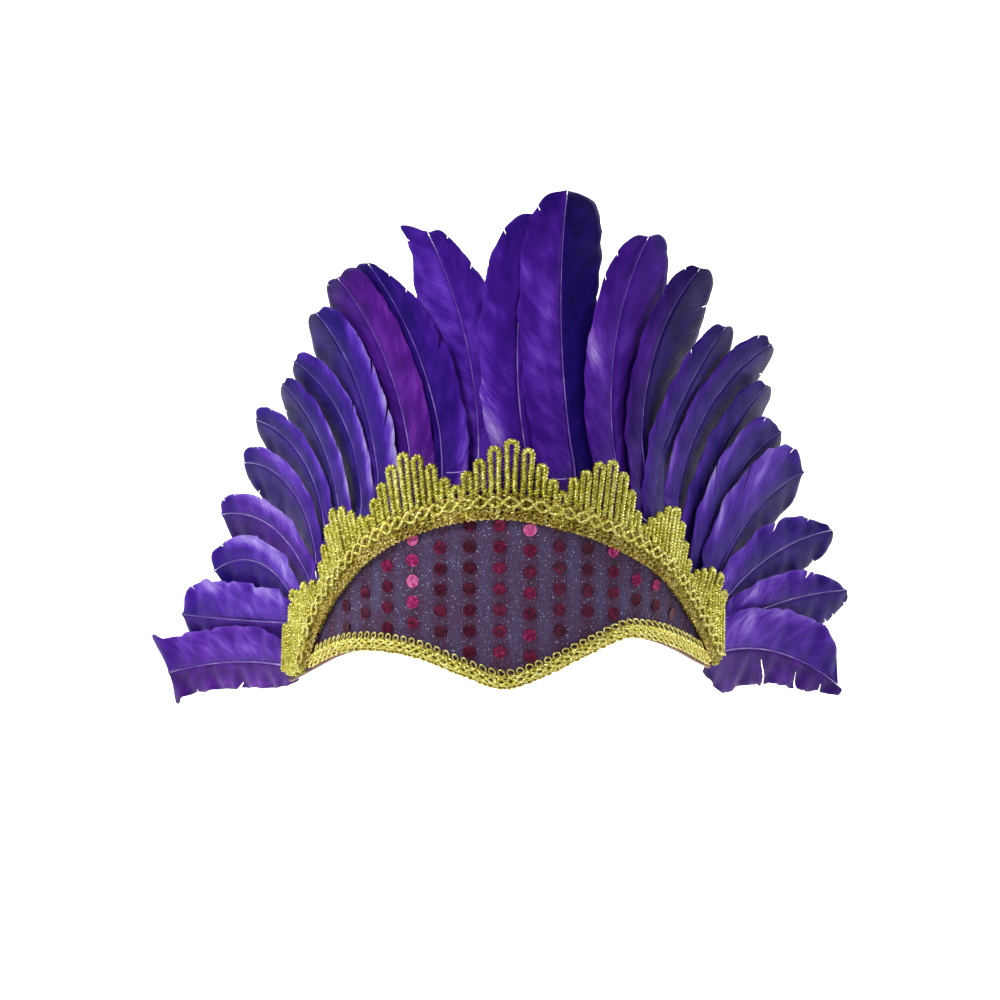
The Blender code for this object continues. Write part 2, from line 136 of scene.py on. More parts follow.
# The plan that part.py draws the headdress on: a round brow, straight sides and a slow flare, and how the
# feathers' upper ends lean forward off the plate and open out flatter
BROW_RADIUS = 87 * MM
BROW_ARC_LENGTH = 82 * MM
PLATE_HALF_LENGTH = 130 * MM
PLATE_RISE = 51 * MM
FLARE_LENGTH = 110 * MM
FLARE_RADIUS = 450 * MM
FAN_LEAN = 11 * MM
FAN_OPENING = 0.6
FAN_HEIGHT = 145 * MM
FAN_FOOT = 40 * MM
COVER_FRONT = 3.3 * MM
COVER_BACK = 2.4 * MM
COVER_MARGIN = 0.8 * MM
COVER_ROWS = 26
RIB_PITCH = 1.25 * MM
RIB_DEPTH = 0.22 * MM
RIB_VALLEY = 0.15 * MM
RIB_STEPS = 5
DOT_PITCH = 12.24 * MM
DOT_MIDDLE = -1.3 * MM
LOWER_EDGE = (
    (-1.0, -0.615), (-0.77, -0.375), (-0.66, -0.265), (-0.535, -0.175), (-0.4, -0.145), (-0.265, -0.18),
    (-0.12, -0.31), (0.0, -0.41), (0.12, -0.32), (0.26, -0.16), (0.405, -0.035), (0.49, -0.055),
    (0.59, -0.12), (0.72, -0.235), (0.85, -0.37), (0.96, -0.48),
)
PLATE_EDGE = (
    (-0.985, -0.58), (-0.93, -0.37), (-0.86, -0.13), (-0.78, 0.08), (-0.68, 0.35), (-0.57, 0.61),
    (-0.45, 0.83), (-0.32, 0.99), (-0.19, 1.12), (0.0, 1.18), (0.19, 1.07), (0.32, 0.97), (0.45, 0.79),
    (0.57, 0.62), (0.685, 0.4), (0.79, 0.13), (0.87, -0.1), (0.94, -0.42),
)


def smooth(rows, x):
    """Reads a table of (x, y) rows with a smooth curve through its rows, for an array of x."""
    xs = np.array([row[0] for row in rows], float)
    ys = np.array([row[1] for row in rows], float)
    before = np.maximum(np.arange(len(xs)) - 1, 0)
    after = np.minimum(np.arange(len(xs)) + 1, len(xs) - 1)
    slopes = (ys[after] - ys[before]) / (xs[after] - xs[before])
    x = np.asarray(x, float)
    i = np.clip(np.searchsorted(xs, x) - 1, 0, len(xs) - 2)
    width = xs[i + 1] - xs[i]
    t = (x - xs[i]) / width
    inside = (ys[i] + slopes[i] * width * t * (1 - t) ** 2 - slopes[i + 1] * width * t * t * (1 - t)
              + t * t * (3 - 2 * t) * (ys[i + 1] - ys[i]))
    low = ys[i] + slopes[i] * (x - xs[i])
    high = ys[i + 1] + slopes[i + 1] * (x - xs[i + 1])
    return np.where(t < 0, low, np.where(t > 1, high, inside))


def place(s, z, n):
    """Points of the flat drawing, s along the plate, z up and n to the front, on the plate's own bend."""
    s, z, n = np.broadcast_arrays(np.asarray(s, float), np.asarray(z, float), np.asarray(n, float))
    rise = np.clip((z - FAN_FOOT) / FAN_HEIGHT, 0, 1) ** 2
    reach = np.abs(s)
    x = np.zeros(s.shape)
    y = np.zeros(s.shape)
    heading = np.zeros(s.shape)
    for length, bend in ((BROW_ARC_LENGTH, 1 / BROW_RADIUS), (PLATE_HALF_LENGTH - BROW_ARC_LENGTH, 0.0),
                         (FLARE_LENGTH, -1 / FLARE_RADIUS), (1.0, 0.0)):
        step = np.minimum(length, reach)
        turned = heading + step * bend * (1 - FAN_OPENING * rise)
        half = (turned - heading) / 2
        chord = step * np.sinc(half / math.pi)
        x += chord * np.cos(heading + half)
        y += chord * np.sin(heading + half)
        heading = turned
        reach = reach - step
    x = np.copysign(x, s)
    heading = np.copysign(heading, s)
    return np.stack([x + n * np.sin(heading), y - n * np.cos(heading) + FAN_LEAN * rise, z], axis=-1)


def new_object(name, points, faces, *materials):
    """A smooth-shaded mesh object."""
    mesh = bpy.data.meshes.new(name)
    mesh.from_pydata(np.asarray(points).reshape(-1, 3).tolist(), [], faces)
    mesh.polygons.foreach_set("use_smooth", [True] * len(mesh.polygons))
    for material in materials:
        mesh.materials.append(material)
    made = bpy.data.objects.new(name, mesh)
    bpy.context.scene.collection.objects.link(made)
    return made


def new_piece(name, points, faces, *materials):
    """A mesh piece that rides on the headdress."""
    piece = new_object(name, points, faces, *materials)
    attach(piece, "root")
    return piece


def set_uv(piece, name, points):
    """Gives a piece a UV layer, from one flat point for each of its vertices."""
    corner = np.zeros(len(piece.data.loops), int)
    piece.data.loops.foreach_get("vertex_index", corner)
    piece.data.uv_layers.new(name=name).data.foreach_set("uv", points[corner].ravel())


def edge_height(rows, s):
    """Height of an edge table at the places s along the plate."""
    return PLATE_RISE * smooth(rows, np.asarray(s) / PLATE_HALF_LENGTH)


cover_start = PLATE_EDGE[0][0] * PLATE_HALF_LENGTH + COVER_MARGIN
cover_end = PLATE_EDGE[-1][0] * PLATE_HALF_LENGTH - COVER_MARGIN
ribs = int((cover_end - cover_start) / RIB_PITCH)
columns = RIB_STEPS * ribs + 1
rows = COVER_ROWS
s_line = np.linspace(cover_start, cover_end, columns)
low_line = edge_height(LOWER_EDGE, s_line) + COVER_MARGIN
high_line = np.maximum(edge_height(PLATE_EDGE, s_line) - COVER_MARGIN, low_line + 2 * MM)
share = np.linspace(0, 1, rows)[:, None]
s_grid = np.broadcast_to(s_line, (rows, columns))
z_grid = low_line + (high_line - low_line) * share
rib_wave = np.abs(np.sin(math.pi * (s_grid - cover_start) / RIB_PITCH)) ** 0.7
n_front = COVER_FRONT - RIB_VALLEY + RIB_DEPTH * rib_wave
cover_points = np.concatenate([place(s_grid, z_grid, n_front), place(s_grid, z_grid, COVER_BACK)])
cover_faces = []
back = rows * columns
for j in range(rows - 1):
    for i in range(columns - 1):
        a = j * columns + i
        cover_faces.append((a, a + 1, a + columns + 1, a + columns))
        cover_faces.append((back + a + columns, back + a + columns + 1, back + a + 1, back + a))
grid = np.arange(back).reshape(rows, columns)
rim = np.concatenate([grid[0], grid[1:, -1], grid[-1, -2::-1], grid[-2:0:-1, 0]]).tolist()
for a, b in zip(rim, rim[1:] + rim[:1]):
    cover_faces.append((b, a, back + a, back + b))

knit, tree, shader = new_material("glitter_rib_knit")
flat = add_node(tree, "UVMap", uv_map="flat").outputs["UV"]
flat_s = add_node(tree, "SeparateXYZ", [(0, flat)]).outputs["X"]
turn = calculate(tree, "SUBTRACT", flat_s, DOT_MIDDLE)
stripe = calculate(tree, "COSINE", calculate(tree, "MULTIPLY", turn, math.tau / DOT_PITCH))
slub = noise(tree, flat, 1.0, 4.0, stretch=(1100.0, 420.0, 1.0))
shift = calculate(tree, "ADD", slub, noise(tree, flat, 45.0))
shift = calculate(tree, "ADD", calculate(tree, "MULTIPLY", shift, 3.0), stripe)
tone = add_node(tree, "MapRange", [("Value", shift), ("From Min", 0.5), ("From Max", 4.8)])
yarn = colour_steps(tree, tone.outputs[0], (0.0, "#44406A"), (0.3, "#3E3056"), (0.5, "#3E2248"),
                    (0.7, "#3E183E"), (1.0, "#320E2A"))
# Metal glitter flecks: real flecks, coloured from dim grey violet up to near white; the light ones are a
# painted glint
flecks = add_node(tree, "TexVoronoi", [("Vector", flat), ("Scale", 1900.0)])
chance = add_node(tree, "SeparateColor", [(0, flecks.outputs["Color"])])
near = calculate(tree, "LESS_THAN", flecks.outputs["Distance"], 0.36)
few = calculate(tree, "GREATER_THAN", chance.outputs[0], 0.66)
fleck = calculate(tree, "MULTIPLY", near, few)
fleck_glint_colour = colour_steps(tree, chance.outputs[1], (0.0, "#463E66"), (0.6, "#625C88"), (0.86, "#8A88B4"),
                            (1.0, "#E0E0FF"))
blend = add_node(tree, "Mix", [(0, fleck), (6, yarn), (7, fleck_glint_colour)], data_type="RGBA")
set_inputs(tree, shader, [
    ("Base Color", blend.outputs[2]), ("Normal", relief(tree, slub, 0.0006)), ("Roughness", 0.7)])

cover = new_piece("rib_knit_cover", cover_points, cover_faces, knit)
set_uv(cover, "flat", np.concatenate([np.stack([s_grid, z_grid], -1).reshape(-1, 2)] * 2))
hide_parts("sequin_fabric")

# Gold gimp: crimped metal thread spun round a cotton core, two plies to a cord. The scalloped tape is one
# such cord led up and down in upright loops, bound by cords that run along the tape, and glued on the cover.
COVER_EDGE = (
    (-0.81, -0.41), (-0.72, -0.03), (-0.555, 0.39), (-0.39, 0.715), (-0.19, 0.935), (0.0, 1.0),
    (0.195, 0.9), (0.375, 0.72), (0.57, 0.44), (0.755, 0.04), (0.915, -0.42),
)
SCALLOP = (0.25, 0.46, 0.65, 0.87, 1.0, 0.87, 0.64, 0.42)
TAPE_WIDTH = 11 * MM
TAPE_MIDDLE = 4.5 * MM
LOOP_HEIGHT = 23.5 * MM
LOOP_PITCH = 5.0 * MM
CORD_WIDTH = 3.25 * MM
PLY_RADIUS = 0.31  # share of the cord's width
THREAD_LEAN = 0.6
LOOP_LEAN = 0.3
LEFT_FAN = math.radians(-112)
RIGHT_FAN = math.radians(64)
FAN_SHARPNESS = 4.5
dice = random.Random(7)


def run_along(*lines):
    """Length along a line at each of its points, from arrays of the points' coordinates."""
    return np.concatenate([[0], np.cumsum(np.linalg.norm([np.diff(line) for line in lines], axis=0))])


def meeting(side, height=0.0):
    """s at which the cover's upper edge comes down to `height` above the plate's lower edge."""
    near, far = 0.0, side * PLATE_HALF_LENGTH
    for _ in range(40):
        middle = (near + far) / 2
        if edge_height(COVER_EDGE, middle) > edge_height(LOWER_EDGE, middle) + height:
            near = middle
        else:
            far = middle
    return near


tape_s = np.linspace(meeting(-1), meeting(1), 400)
tape_z = edge_height(COVER_EDGE, tape_s)
tape_run = run_along(tape_s, tape_z)
tape_run -= np.interp(0, tape_s, tape_run)
tape_slope = np.arctan2(np.gradient(tape_z, tape_s), 1)


def tape_lean(run, lean_share):
    """Lean of the tape's threads or loops at a length along it, fanning out to its cut ends."""
    end = np.where(run < 0, tape_run[0], tape_run[-1])
    fan = np.where(run < 0, LEFT_FAN, RIGHT_FAN)
    weight = np.clip(run / end, 0, 1.05) ** FAN_SHARPNESS
    return -np.interp(run, tape_run, tape_slope) * lean_share * (1 - weight) + fan * weight


def on_tape(run, rise, centre=None):
    """Flat points (s, z) of the tape, which goes straight on past its ends, at a length and a height."""
    run, rise = np.broadcast_arrays(np.asarray(run, float), np.asarray(rise, float))
    base = np.minimum(rise, TAPE_WIDTH)
    lean = tape_lean(run, THREAD_LEAN)
    s = np.interp(run, tape_run, tape_s) + base * np.sin(lean)
    z = np.interp(run, tape_run, tape_z) + base * np.cos(lean)
    for past, slope in ((np.minimum(run - tape_run[0], 0), tape_slope[0]),
                        (np.maximum(run - tape_run[-1], 0), tape_slope[-1])):
        s = s + past * np.cos(slope)
        z = z + past * np.sin(slope)
    lean = tape_lean(run if centre is None else centre + 0 * run, LOOP_LEAN)
    return s + (rise - base) * np.sin(lean), z + (rise - base) * np.cos(lean)


def flat_path(s, z, n):
    """A cord's path as rows of (s, z, n)."""
    return np.stack(np.broadcast_arrays(s, z, n), -1)


def tube_faces(first, rings, sides):
    """Faces of a closed tube whose rings of points start at this index."""
    end = first + (rings - 1) * sides
    walls = [(low + k, low + sides + k, low + sides + (k + 1) % sides, low + (k + 1) % sides)
             for low in range(first, end, sides) for k in range(sides)]
    return walls + [tuple(range(first, first + sides)), tuple(range(end + sides - 1, end - 1, -1))]


def spin_cords(name, material, paths, width, pitch, step, plies=2, sides=5, crimp=0.15):
    """A gimp piece of twisted cords along flat paths, with rings `step` apart, crimped by a share."""
    points, faces = [], []
    count = 0
    around = math.tau * np.arange(sides) / sides
    for path in paths:
        lengths = run_along(*path.T)
        rings = max(int(lengths[-1] / step), 3)
        run = np.linspace(0, lengths[-1], rings)
        s, z, n = (np.interp(run, lengths, path[:, k]) for k in range(3))
        along_s, along_z = np.gradient(s, run), np.gradient(z, run)
        size = np.maximum(np.hypot(along_s, along_z), 1e-9)
        side_s, side_z = -along_z / size, along_s / size
        start = dice.uniform(0, math.pi)
        for ply in range(plies):
            phase = start + math.tau * (run / pitch + ply / plies)
            offset = width / 6 if plies > 1 else 0.0
            rough = np.array([1 + crimp * dice.uniform(-1, 1) for _ in range(rings)])
            radius = (width * PLY_RADIUS if plies > 1 else width / 2) * rough
            radius[[0, -1]] *= 0.5
            across = (offset * np.cos(phase))[:, None] + radius[:, None] * np.cos(around)
            out = (offset * np.sin(phase))[:, None] + radius[:, None] * np.sin(around)
            ring = place(s[:, None] + side_s[:, None] * across, z[:, None] + side_z[:, None] * across,
                         n[:, None] + out)
            points.append(ring.reshape(-1, 3))
            faces += tube_faces(count, rings, sides)
            count += rings * sides
    piece = new_piece(name, np.concatenate(points), faces, material)
    return piece


def crimped_gold(name, *steps):
    """Metallic polyester thread: yellow gold with greener and browner turns, each turn painted between shade
    and highlight, and a hard, broken sparkle.
    """
    material, tree, shader = new_material(name)
    where = own_place(tree)
    turns = add_node(tree, "TexVoronoi", [("Vector", where), ("Scale", 1500.0)])
    chance = add_node(tree, "SeparateColor", [(0, turns.outputs["Color"])])
    # Each crimped turn takes a random tone on the colour steps, which run from painted shade to a painted
    # highlight
    tone = calculate(tree, "ADD", chance.outputs[0], noise(tree, where, 70.0))
    tone = calculate(tree, "MULTIPLY", tone, 0.62)
    set_inputs(tree, shader, [
        ("Base Color", colour_steps(tree, tone, *steps)),
        ("Normal", relief(tree, chance.outputs[1], 0.0006)), ("Metallic", 0.9), ("Roughness", 0.36)])
    return material


# The loops are the brightest thread. The binding cords and the braid's ground lie deeper, and their copy of
# the gold is painted darker and browner: painted shade.
gold = crimped_gold("crimped_gold_thread", (0.12, "#584A0A"), (0.4, "#A09428"), (0.66, "#CAC444"),
                    (0.92, "#F8F4A0"))
shade_painted_gold = crimped_gold("crimped_gold_painted_shade", (0.15, "#362408"), (0.42, "#7E661E"), (0.68, "#B0983A"),
                        (0.95, "#EEDC92"))


def loop_height(centre):
    """Height of the loop whose middle is at this length along the tape."""
    turn = (centre / LOOP_PITCH - 0.5 + len(SCALLOP) / 2) % len(SCALLOP)
    return TAPE_WIDTH + LOOP_HEIGHT * np.interp(turn, range(len(SCALLOP) + 1), SCALLOP + SCALLOP[:1])


# Loops that stand upright over the two ends of the tape: middle s, lower end and crown, in millimetres
CORNER_LOOPS = ((-127.2, -25.5, -2.0), (-122.2, -26.5, 8.0), (-117.2, -26.0, 14.5), (-112.4, -24.0, 17.5),
                (-107.6, -14.0, 17.0), (117.0, -18.0, 17.0), (122.0, -21.5, 16.5), (127.0, -16.0, 12.5))
CORNER_HALF_WIDTH = 1.3 * MM
CORNER_LIFT = 0.2 * MM
LEFT_CORNER_LEAN = 0.08
crown_turn = np.linspace(0.2, math.pi - 0.2, 9)
loop_paths = []
for middle, low, high in CORNER_LOOPS:
    crown = high * MM - CORNER_HALF_WIDTH - CORD_WIDTH / 2
    leg = np.linspace(low * MM, crown, 20)
    across = np.concatenate([np.full(20, -1.0), -np.cos(crown_turn), np.full(20, 1.0)])
    z = np.concatenate([leg, crown + CORNER_HALF_WIDTH * np.sin(crown_turn), leg[::-1]])
    s = middle * MM + CORNER_HALF_WIDTH * across
    if middle < 0:
        s = s + LEFT_CORNER_LEAN * (z - low * MM)
    loop_paths.append(flat_path(s, z, TAPE_MIDDLE + CORNER_LIFT))

# The other loops stand a pitch apart along the tape, the tall ones wider than the short ones. The scallops
# beside the middle one stand a little higher over the tape than the others.
LOOP_HALF_WIDTHS = ((0.3, 0.6, 0.85, 1.0), (1.2, 1.3, 1.5, 1.75))  # share of the full height, millimetres
LOOP_SPREAD = 1.0 * MM
LOOP_FOOT = 0.6 * MM
FOOT_HALF_WIDTH = 1.2 * MM
SIDE_SCALLOPS = (24 * MM, 58 * MM)
SIDE_RISE = 1.8 * MM
first = math.floor(tape_run[0] / LOOP_PITCH) + 4
last = math.floor(tape_run[-1] / LOOP_PITCH) - 2
for index in range(first, last):
    even = (index + 0.5) * LOOP_PITCH
    centre = even + LOOP_SPREAD * math.sin(math.tau * (even / LOOP_PITCH - 0.5) / len(SCALLOP))
    height = loop_height(even)
    if SIDE_SCALLOPS[0] < abs(centre) < SIDE_SCALLOPS[1]:
        height += SIDE_RISE
    share = np.clip((height - TAPE_WIDTH) / LOOP_HEIGHT, 0, 1)
    half = np.interp(share, *LOOP_HALF_WIDTHS) * MM
    crown = height - half - CORD_WIDTH / 2
    leg = np.linspace(LOOP_FOOT, crown, 26)
    # The legs narrow from the crown down to the tape, and bulge a little just above it
    bow = 1 + 0.4 * np.exp(-((leg - TAPE_WIDTH - 0.6 * MM) / (1.2 * MM)) ** 2)
    bow = bow * np.interp(leg, (TAPE_WIDTH + 3 * MM, crown), (FOOT_HALF_WIDTH / half, 1.0))
    rise = np.concatenate([leg, crown + half * np.sin(crown_turn), leg[::-1]])
    run = centre + half * np.concatenate([-bow, -np.cos(crown_turn), bow[::-1]])
    s, z = on_tape(run, rise, centre)
    loop_paths.append(flat_path(s, z, TAPE_MIDDLE + dice.uniform(-0.25, 0.25) * MM))
loops = spin_cords("gimp_loops", gold, loop_paths, CORD_WIDTH, 2.7 * MM, 0.55 * MM)
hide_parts("scalloped_trim")

# Lengthwise cords of the scalloped tape: crimped zigzags that bind the loops, in seven rows. Each has its
# middle, swing and period in millimetres, its phase, and its lift off the tape in millimetres.
binder_paths = []
run = np.arange(tape_run[0] + 1 * MM, tape_run[-1] - 1 * MM, 0.35 * MM)
for middle, swing, period, phase, lift in (
        (0.7, 0.4, 2.6, 0.0, 1.3), (2.2, 0.6, 3.1, 0.3, 1.1), (3.8, 0.6, 3.4, 2.2, 0.9),
        (5.4, 0.5, 3.2, 4.0, 0.6), (7.1, 0.6, 3.6, 1.0, 0.4), (8.7, 0.6, 3.2, 5.0, 0.5),
        (10.3, 0.5, 3.0, 3.0, 0.9)):
    turned = math.tau * run / (period * MM) + phase
    s, z = on_tape(run, (middle + swing * np.sin(turned)) * MM)
    binder_paths.append(flat_path(s, z, TAPE_MIDDLE + lift * MM + 0.25 * MM * np.cos(turned)))
# The binders are spun in the copy of the gold that carries painted shade
spin_cords("gimp_binders", shade_painted_gold, binder_paths, 1.4 * MM, 1.9 * MM, 0.45 * MM, crimp=0.34)

# Two thin cords run in waves over the tape and cross each other: smoother gold, painted paler than the
# crimped gold as a painted sheen, so they show as lighter lines. They start half a wave apart and wander by
# up to a third of a radian.
WAVE_PERIOD = 11.3 * MM
WAVE_MIDDLE = 7.6 * MM
WAVE_SWING = 2.1 * MM
WAVE_LIFT = 2.3 * MM
wave_gold, tree, shader = new_material("smooth_gold_painted_sheen")
sheen_patches = noise(tree, own_place(tree), 900.0)
# Paler patches up to near white: a painted sheen
set_inputs(tree, shader, [
    ("Base Color", colour_steps(tree, sheen_patches, (0.3, "#A89C34"), (0.5, "#D2C65A"), (0.7, "#F8F2B0"))),
    ("Metallic", 0.8), ("Roughness", 0.3)])
wave_paths = []
for phase, wander in ((0.0, 0.25), (math.pi, -0.3)):
    turned = math.tau * run / WAVE_PERIOD + phase + wander * np.sin(run / (19 * MM))
    s, z = on_tape(run, WAVE_MIDDLE + WAVE_SWING * np.sin(turned))
    wave_paths.append(flat_path(s, z, TAPE_MIDDLE + WAVE_LIFT + 0.35 * MM * np.cos(turned)))
spin_cords("gimp_waves", wave_gold, wave_paths, 1.5 * MM, 4.0 * MM, 0.4 * MM, crimp=0.04, sides=6)

# A loose violet thread spans the valleys between the scallops: (s, z) of its ends in millimetres.
VALLEYS = ((-23, 70.5, -14, 71.5), (18, 68, 26, 68), (60, 51.5, 68, 47), (88, 21, 95, 17))
THREAD_SAG = 1.2
thread_paths = []
for s0, z0, s1, z1 in VALLEYS:
    way = np.linspace(0, 1, 12)
    z = z0 + (z1 - z0) * way - THREAD_SAG * way * (1 - way)
    thread_paths.append(flat_path((s0 + (s1 - s0) * way) * MM, z * MM, TAPE_MIDDLE))
sewing_thread, tree, shader = new_material("polyester_thread")
set_inputs(tree, shader, [("Base Color", linear("#9A82CE")), ("Roughness", 0.5)])
spin_cords("valley_threads", sewing_thread, thread_paths, 0.42 * MM, 1.0 * MM, 0.6 * MM, plies=1, crimp=0.0)

# Lower braid: a narrow gold gimp, glued on the cover along the V edge and cut off against the scalloped tape.
# Its ground is five crimped cords side by side, and the plait and the picots lie on them.
BRAID_WIDTH = 9 * MM
BRAID_MIDDLE = 4.8 * MM
BRAID_END_GAP = 0.6 * MM
BRAID_LENGTH = 232 * MM  # sets how many turns the cords have


def on_braid(q, height):
    """Flat points of the lower braid at a share of its length and a height above the plate's edge."""
    levels = np.linspace(0, BRAID_WIDTH, 8)
    start, end = ([meeting(side, level) - side * BRAID_END_GAP for level in levels] for side in (-1, 1))
    h = np.asarray(height, float)
    begin = np.interp(h, levels, start)
    s = begin + (np.interp(h, levels, end) - begin) * q
    return s, edge_height(LOWER_EDGE, s) + h


q = np.linspace(0, 1, 660)
braid_paths = []
for middle, swing, period, phase, lift in (
        (0.9, 0.3, 3.0, 0.0, -0.6), (2.2, 0.4, 3.4, 1.0, -0.5), (3.5, 0.4, 3.2, 2.1, -0.5),
        (4.8, 0.4, 3.4, 4.2, -0.5), (5.9, 0.3, 3.0, 1.5, -0.6)):
    turned = math.tau * q * BRAID_LENGTH / (period * MM) + phase
    s, z = on_braid(q, (middle + swing * np.sin(turned)) * MM)
    braid_paths.append(flat_path(s, z, BRAID_MIDDLE + lift * MM + 0.2 * MM * np.cos(2 * turned)))
# The ground is spun in the copy of the gold that carries painted shade
braid = spin_cords("gimp_ground", shade_painted_gold, braid_paths, 1.6 * MM, 2.2 * MM, 0.5 * MM, crimp=0.22)
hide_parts("lower_braid")

# The ground carries a plait of four satin cords. A finer cord stands out at both edges in ring picots:
# height of the row, radius of its rings and lift, in millimetres, and its offset in picots.
PICOT_PITCH = 4.1 * MM
PICOT_ROWS = ((7.15, 1.45, 0.5, 0.5), (1.55, 1.15, 0.6, 0.0))
PLAIT_MIDDLE = 3.7 * MM
PLAIT_SWING = 1.75 * MM
plait_paths, picot_paths = [], []
for phase in (0.0, 0.25, 0.5, 0.75):
    turned = math.tau * (q * BRAID_LENGTH / (4 * PICOT_PITCH) + phase)
    s, z = on_braid(q, PLAIT_MIDDLE + PLAIT_SWING * np.sin(turned))
    plait_paths.append(flat_path(s, z, BRAID_MIDDLE + 0.75 * MM + 0.4 * MM * np.cos(2 * turned)))
turn = np.linspace(0, math.tau, 19)
for height, radius, lift, offset in PICOT_ROWS:
    for k in range(int(BRAID_LENGTH / PICOT_PITCH)):
        middle = (k + offset) * PICOT_PITCH / BRAID_LENGTH + 0.004
        size = radius * dice.uniform(0.9, 1.08)
        s, z = on_braid(middle + size * MM / BRAID_LENGTH * np.cos(turn), (height + size * np.sin(turn)) * MM)
        picot_paths.append(flat_path(s, z, BRAID_MIDDLE + lift * MM + 0.25 * MM * np.cos(turn)))
# The plait and the picots use the same gold with its painted sheen
spin_cords("satin_plait", wave_gold, plait_paths, 1.45 * MM, 4.5 * MM, 0.45 * MM, crimp=0.05, sides=6)
spin_cords("ring_picots", wave_gold, picot_paths, 0.78 * MM, 1.2 * MM, 0.4 * MM, plies=1, crimp=0.08)

# Foil dots: thin polyester discs hot-fixed in columns on the knit, slightly cupped and never quite flat.
# Their colour carries a painted reflection: most are painted dark crimson and a few a pink glint.
DOT_RADIUS = 2.75 * MM
ROW_PITCH = 8.9 * MM
DOT_SIDES = 20
DOT_LIFT = 0.42 * MM
DOT_LEAN = 0.1
MIDDLE_COLUMN = 6
LOWEST_DOT = 1.5 * MM  # how far above the braid a dot's middle stays
# Section of a dot: share of its radius, height in millimetres
DOT_SECTION = ((0.0, 0.0), (0.45, -0.04), (0.8, 0.02), (0.97, 0.10), (1.0, 0.02))
# The dots given a painted glint: (column, row) and how bright it is painted
PAINTED_GLINTS = {(3, 0): 0.74, (3, 1): 0.5, (3, 2): 0.76, (3, 3): 0.5, (7, 0): 0.72, (10, 0): 0.6, (11, 0): 0.42,
          (12, 0): 0.46, (2, 0): 0.38, (6, 6): 0.3, (7, 5): 0.36, (6, 1): 0.26, (7, 3): 0.3}
# How light each column's dots are painted, a painted reflection, from the left
COLUMN_PAINTED_GLINT = (0.06, 0.08, 0.2, 0.3, 0.12, 0.08, 0.2, 0.2, 0.1, 0.04, 0.18, 0.16, 0.14, 0.06)
# Height of the top dot of each column, in millimetres, from the left
DOT_TOPS = (10.5, 17.5, 30.0, 41.9, 38.8, 48.4, 48.5, 46.7, 48.2, 38.0, 36.5, 23.4, 20.0, 6.0)


def apply_modifier(piece, kind, **settings):
    """Adds a modifier with its settings and applies it."""
    bpy.ops.object.select_all(action="DESELECT")
    bpy.context.view_layer.objects.active = piece
    piece.select_set(True)
    modifier = piece.modifiers.new(kind, kind)
    for name, value in settings.items():
        setattr(modifier, name, value)
    bpy.ops.object.modifier_apply(modifier=modifier.name)
    piece.select_set(False)


foil, tree, shader = new_material("crimson_foil")
painted_glint = add_node(tree, "Attribute", attribute_name="painted_glint").outputs["Fac"]
worn = noise(tree, own_place(tree), 700.0, 4.0)
# The tone is the dot's painted glint plus random wear, on steps from dark crimson to a hot pink painted
# reflection
tone = calculate(tree, "SUBTRACT", calculate(tree, "ADD", painted_glint, worn), 0.35)
set_inputs(tree, shader, [
    ("Base Color", colour_steps(tree, tone, (0.12, "#300A1E"), (0.38, "#5C0E30"), (0.55, "#8A164A"),
                                (0.75, "#C83280"), (1.0, "#F884C4"))),
    ("Metallic", 0.6), ("Roughness", 0.34)])
turn = math.tau * np.arange(DOT_SIDES) / DOT_SIDES
radius, height = np.array(DOT_SECTION).T[:, :, None]
dot_s = (radius * DOT_RADIUS * np.cos(turn)).ravel()
dot_z = (radius * DOT_RADIUS * np.sin(turn)).ravel()
dot_n = (height * MM + 0 * turn).ravel()
dot_points, dot_faces, dot_painted_glints = [], [], []
for column, top in enumerate(DOT_TOPS):
    s0 = DOT_MIDDLE + (column - MIDDLE_COLUMN) * DOT_PITCH
    z0 = top * MM
    row = 0
    while z0 > edge_height(LOWER_EDGE, s0) + BRAID_WIDTH + LOWEST_DOT:
        lean_s, lean_z = dice.uniform(-DOT_LEAN, DOT_LEAN), dice.uniform(-DOT_LEAN, DOT_LEAN)
        # Each dot's painted glint: listed for some, otherwise its column's painted lightness with a random
        # spread
        glint = PAINTED_GLINTS.get((column, row), COLUMN_PAINTED_GLINT[column] + dice.uniform(-0.06, 0.08))
        first = len(dot_painted_glints)
        n = COVER_FRONT + DOT_LIFT + dot_n + lean_s * dot_s + lean_z * dot_z
        dot_points.append(place(s0 + dot_s, z0 + dot_z, n))
        dot_painted_glints += [glint] * len(dot_s)
        for k in range(DOT_SIDES):
            j = (k + 1) % DOT_SIDES
            for ring in range(len(DOT_SECTION) - 1):
                a, b = first + ring * DOT_SIDES, first + (ring + 1) * DOT_SIDES
                dot_faces.append((a + k, b + k, b + j, a + j) if ring else (first, b + k, b + j))
        z0 -= ROW_PITCH
        row += 1
dots = new_piece("foil_dots", np.concatenate(dot_points), dot_faces, foil)
attribute = dots.data.attributes.new("painted_glint", "FLOAT", "POINT")
attribute.data.foreach_set("value", dot_painted_glints)
apply_modifier(dots, "WELD", merge_threshold=0.00002)
apply_modifier(dots, "SOLIDIFY", thickness=0.12 * MM, offset=-1.0)

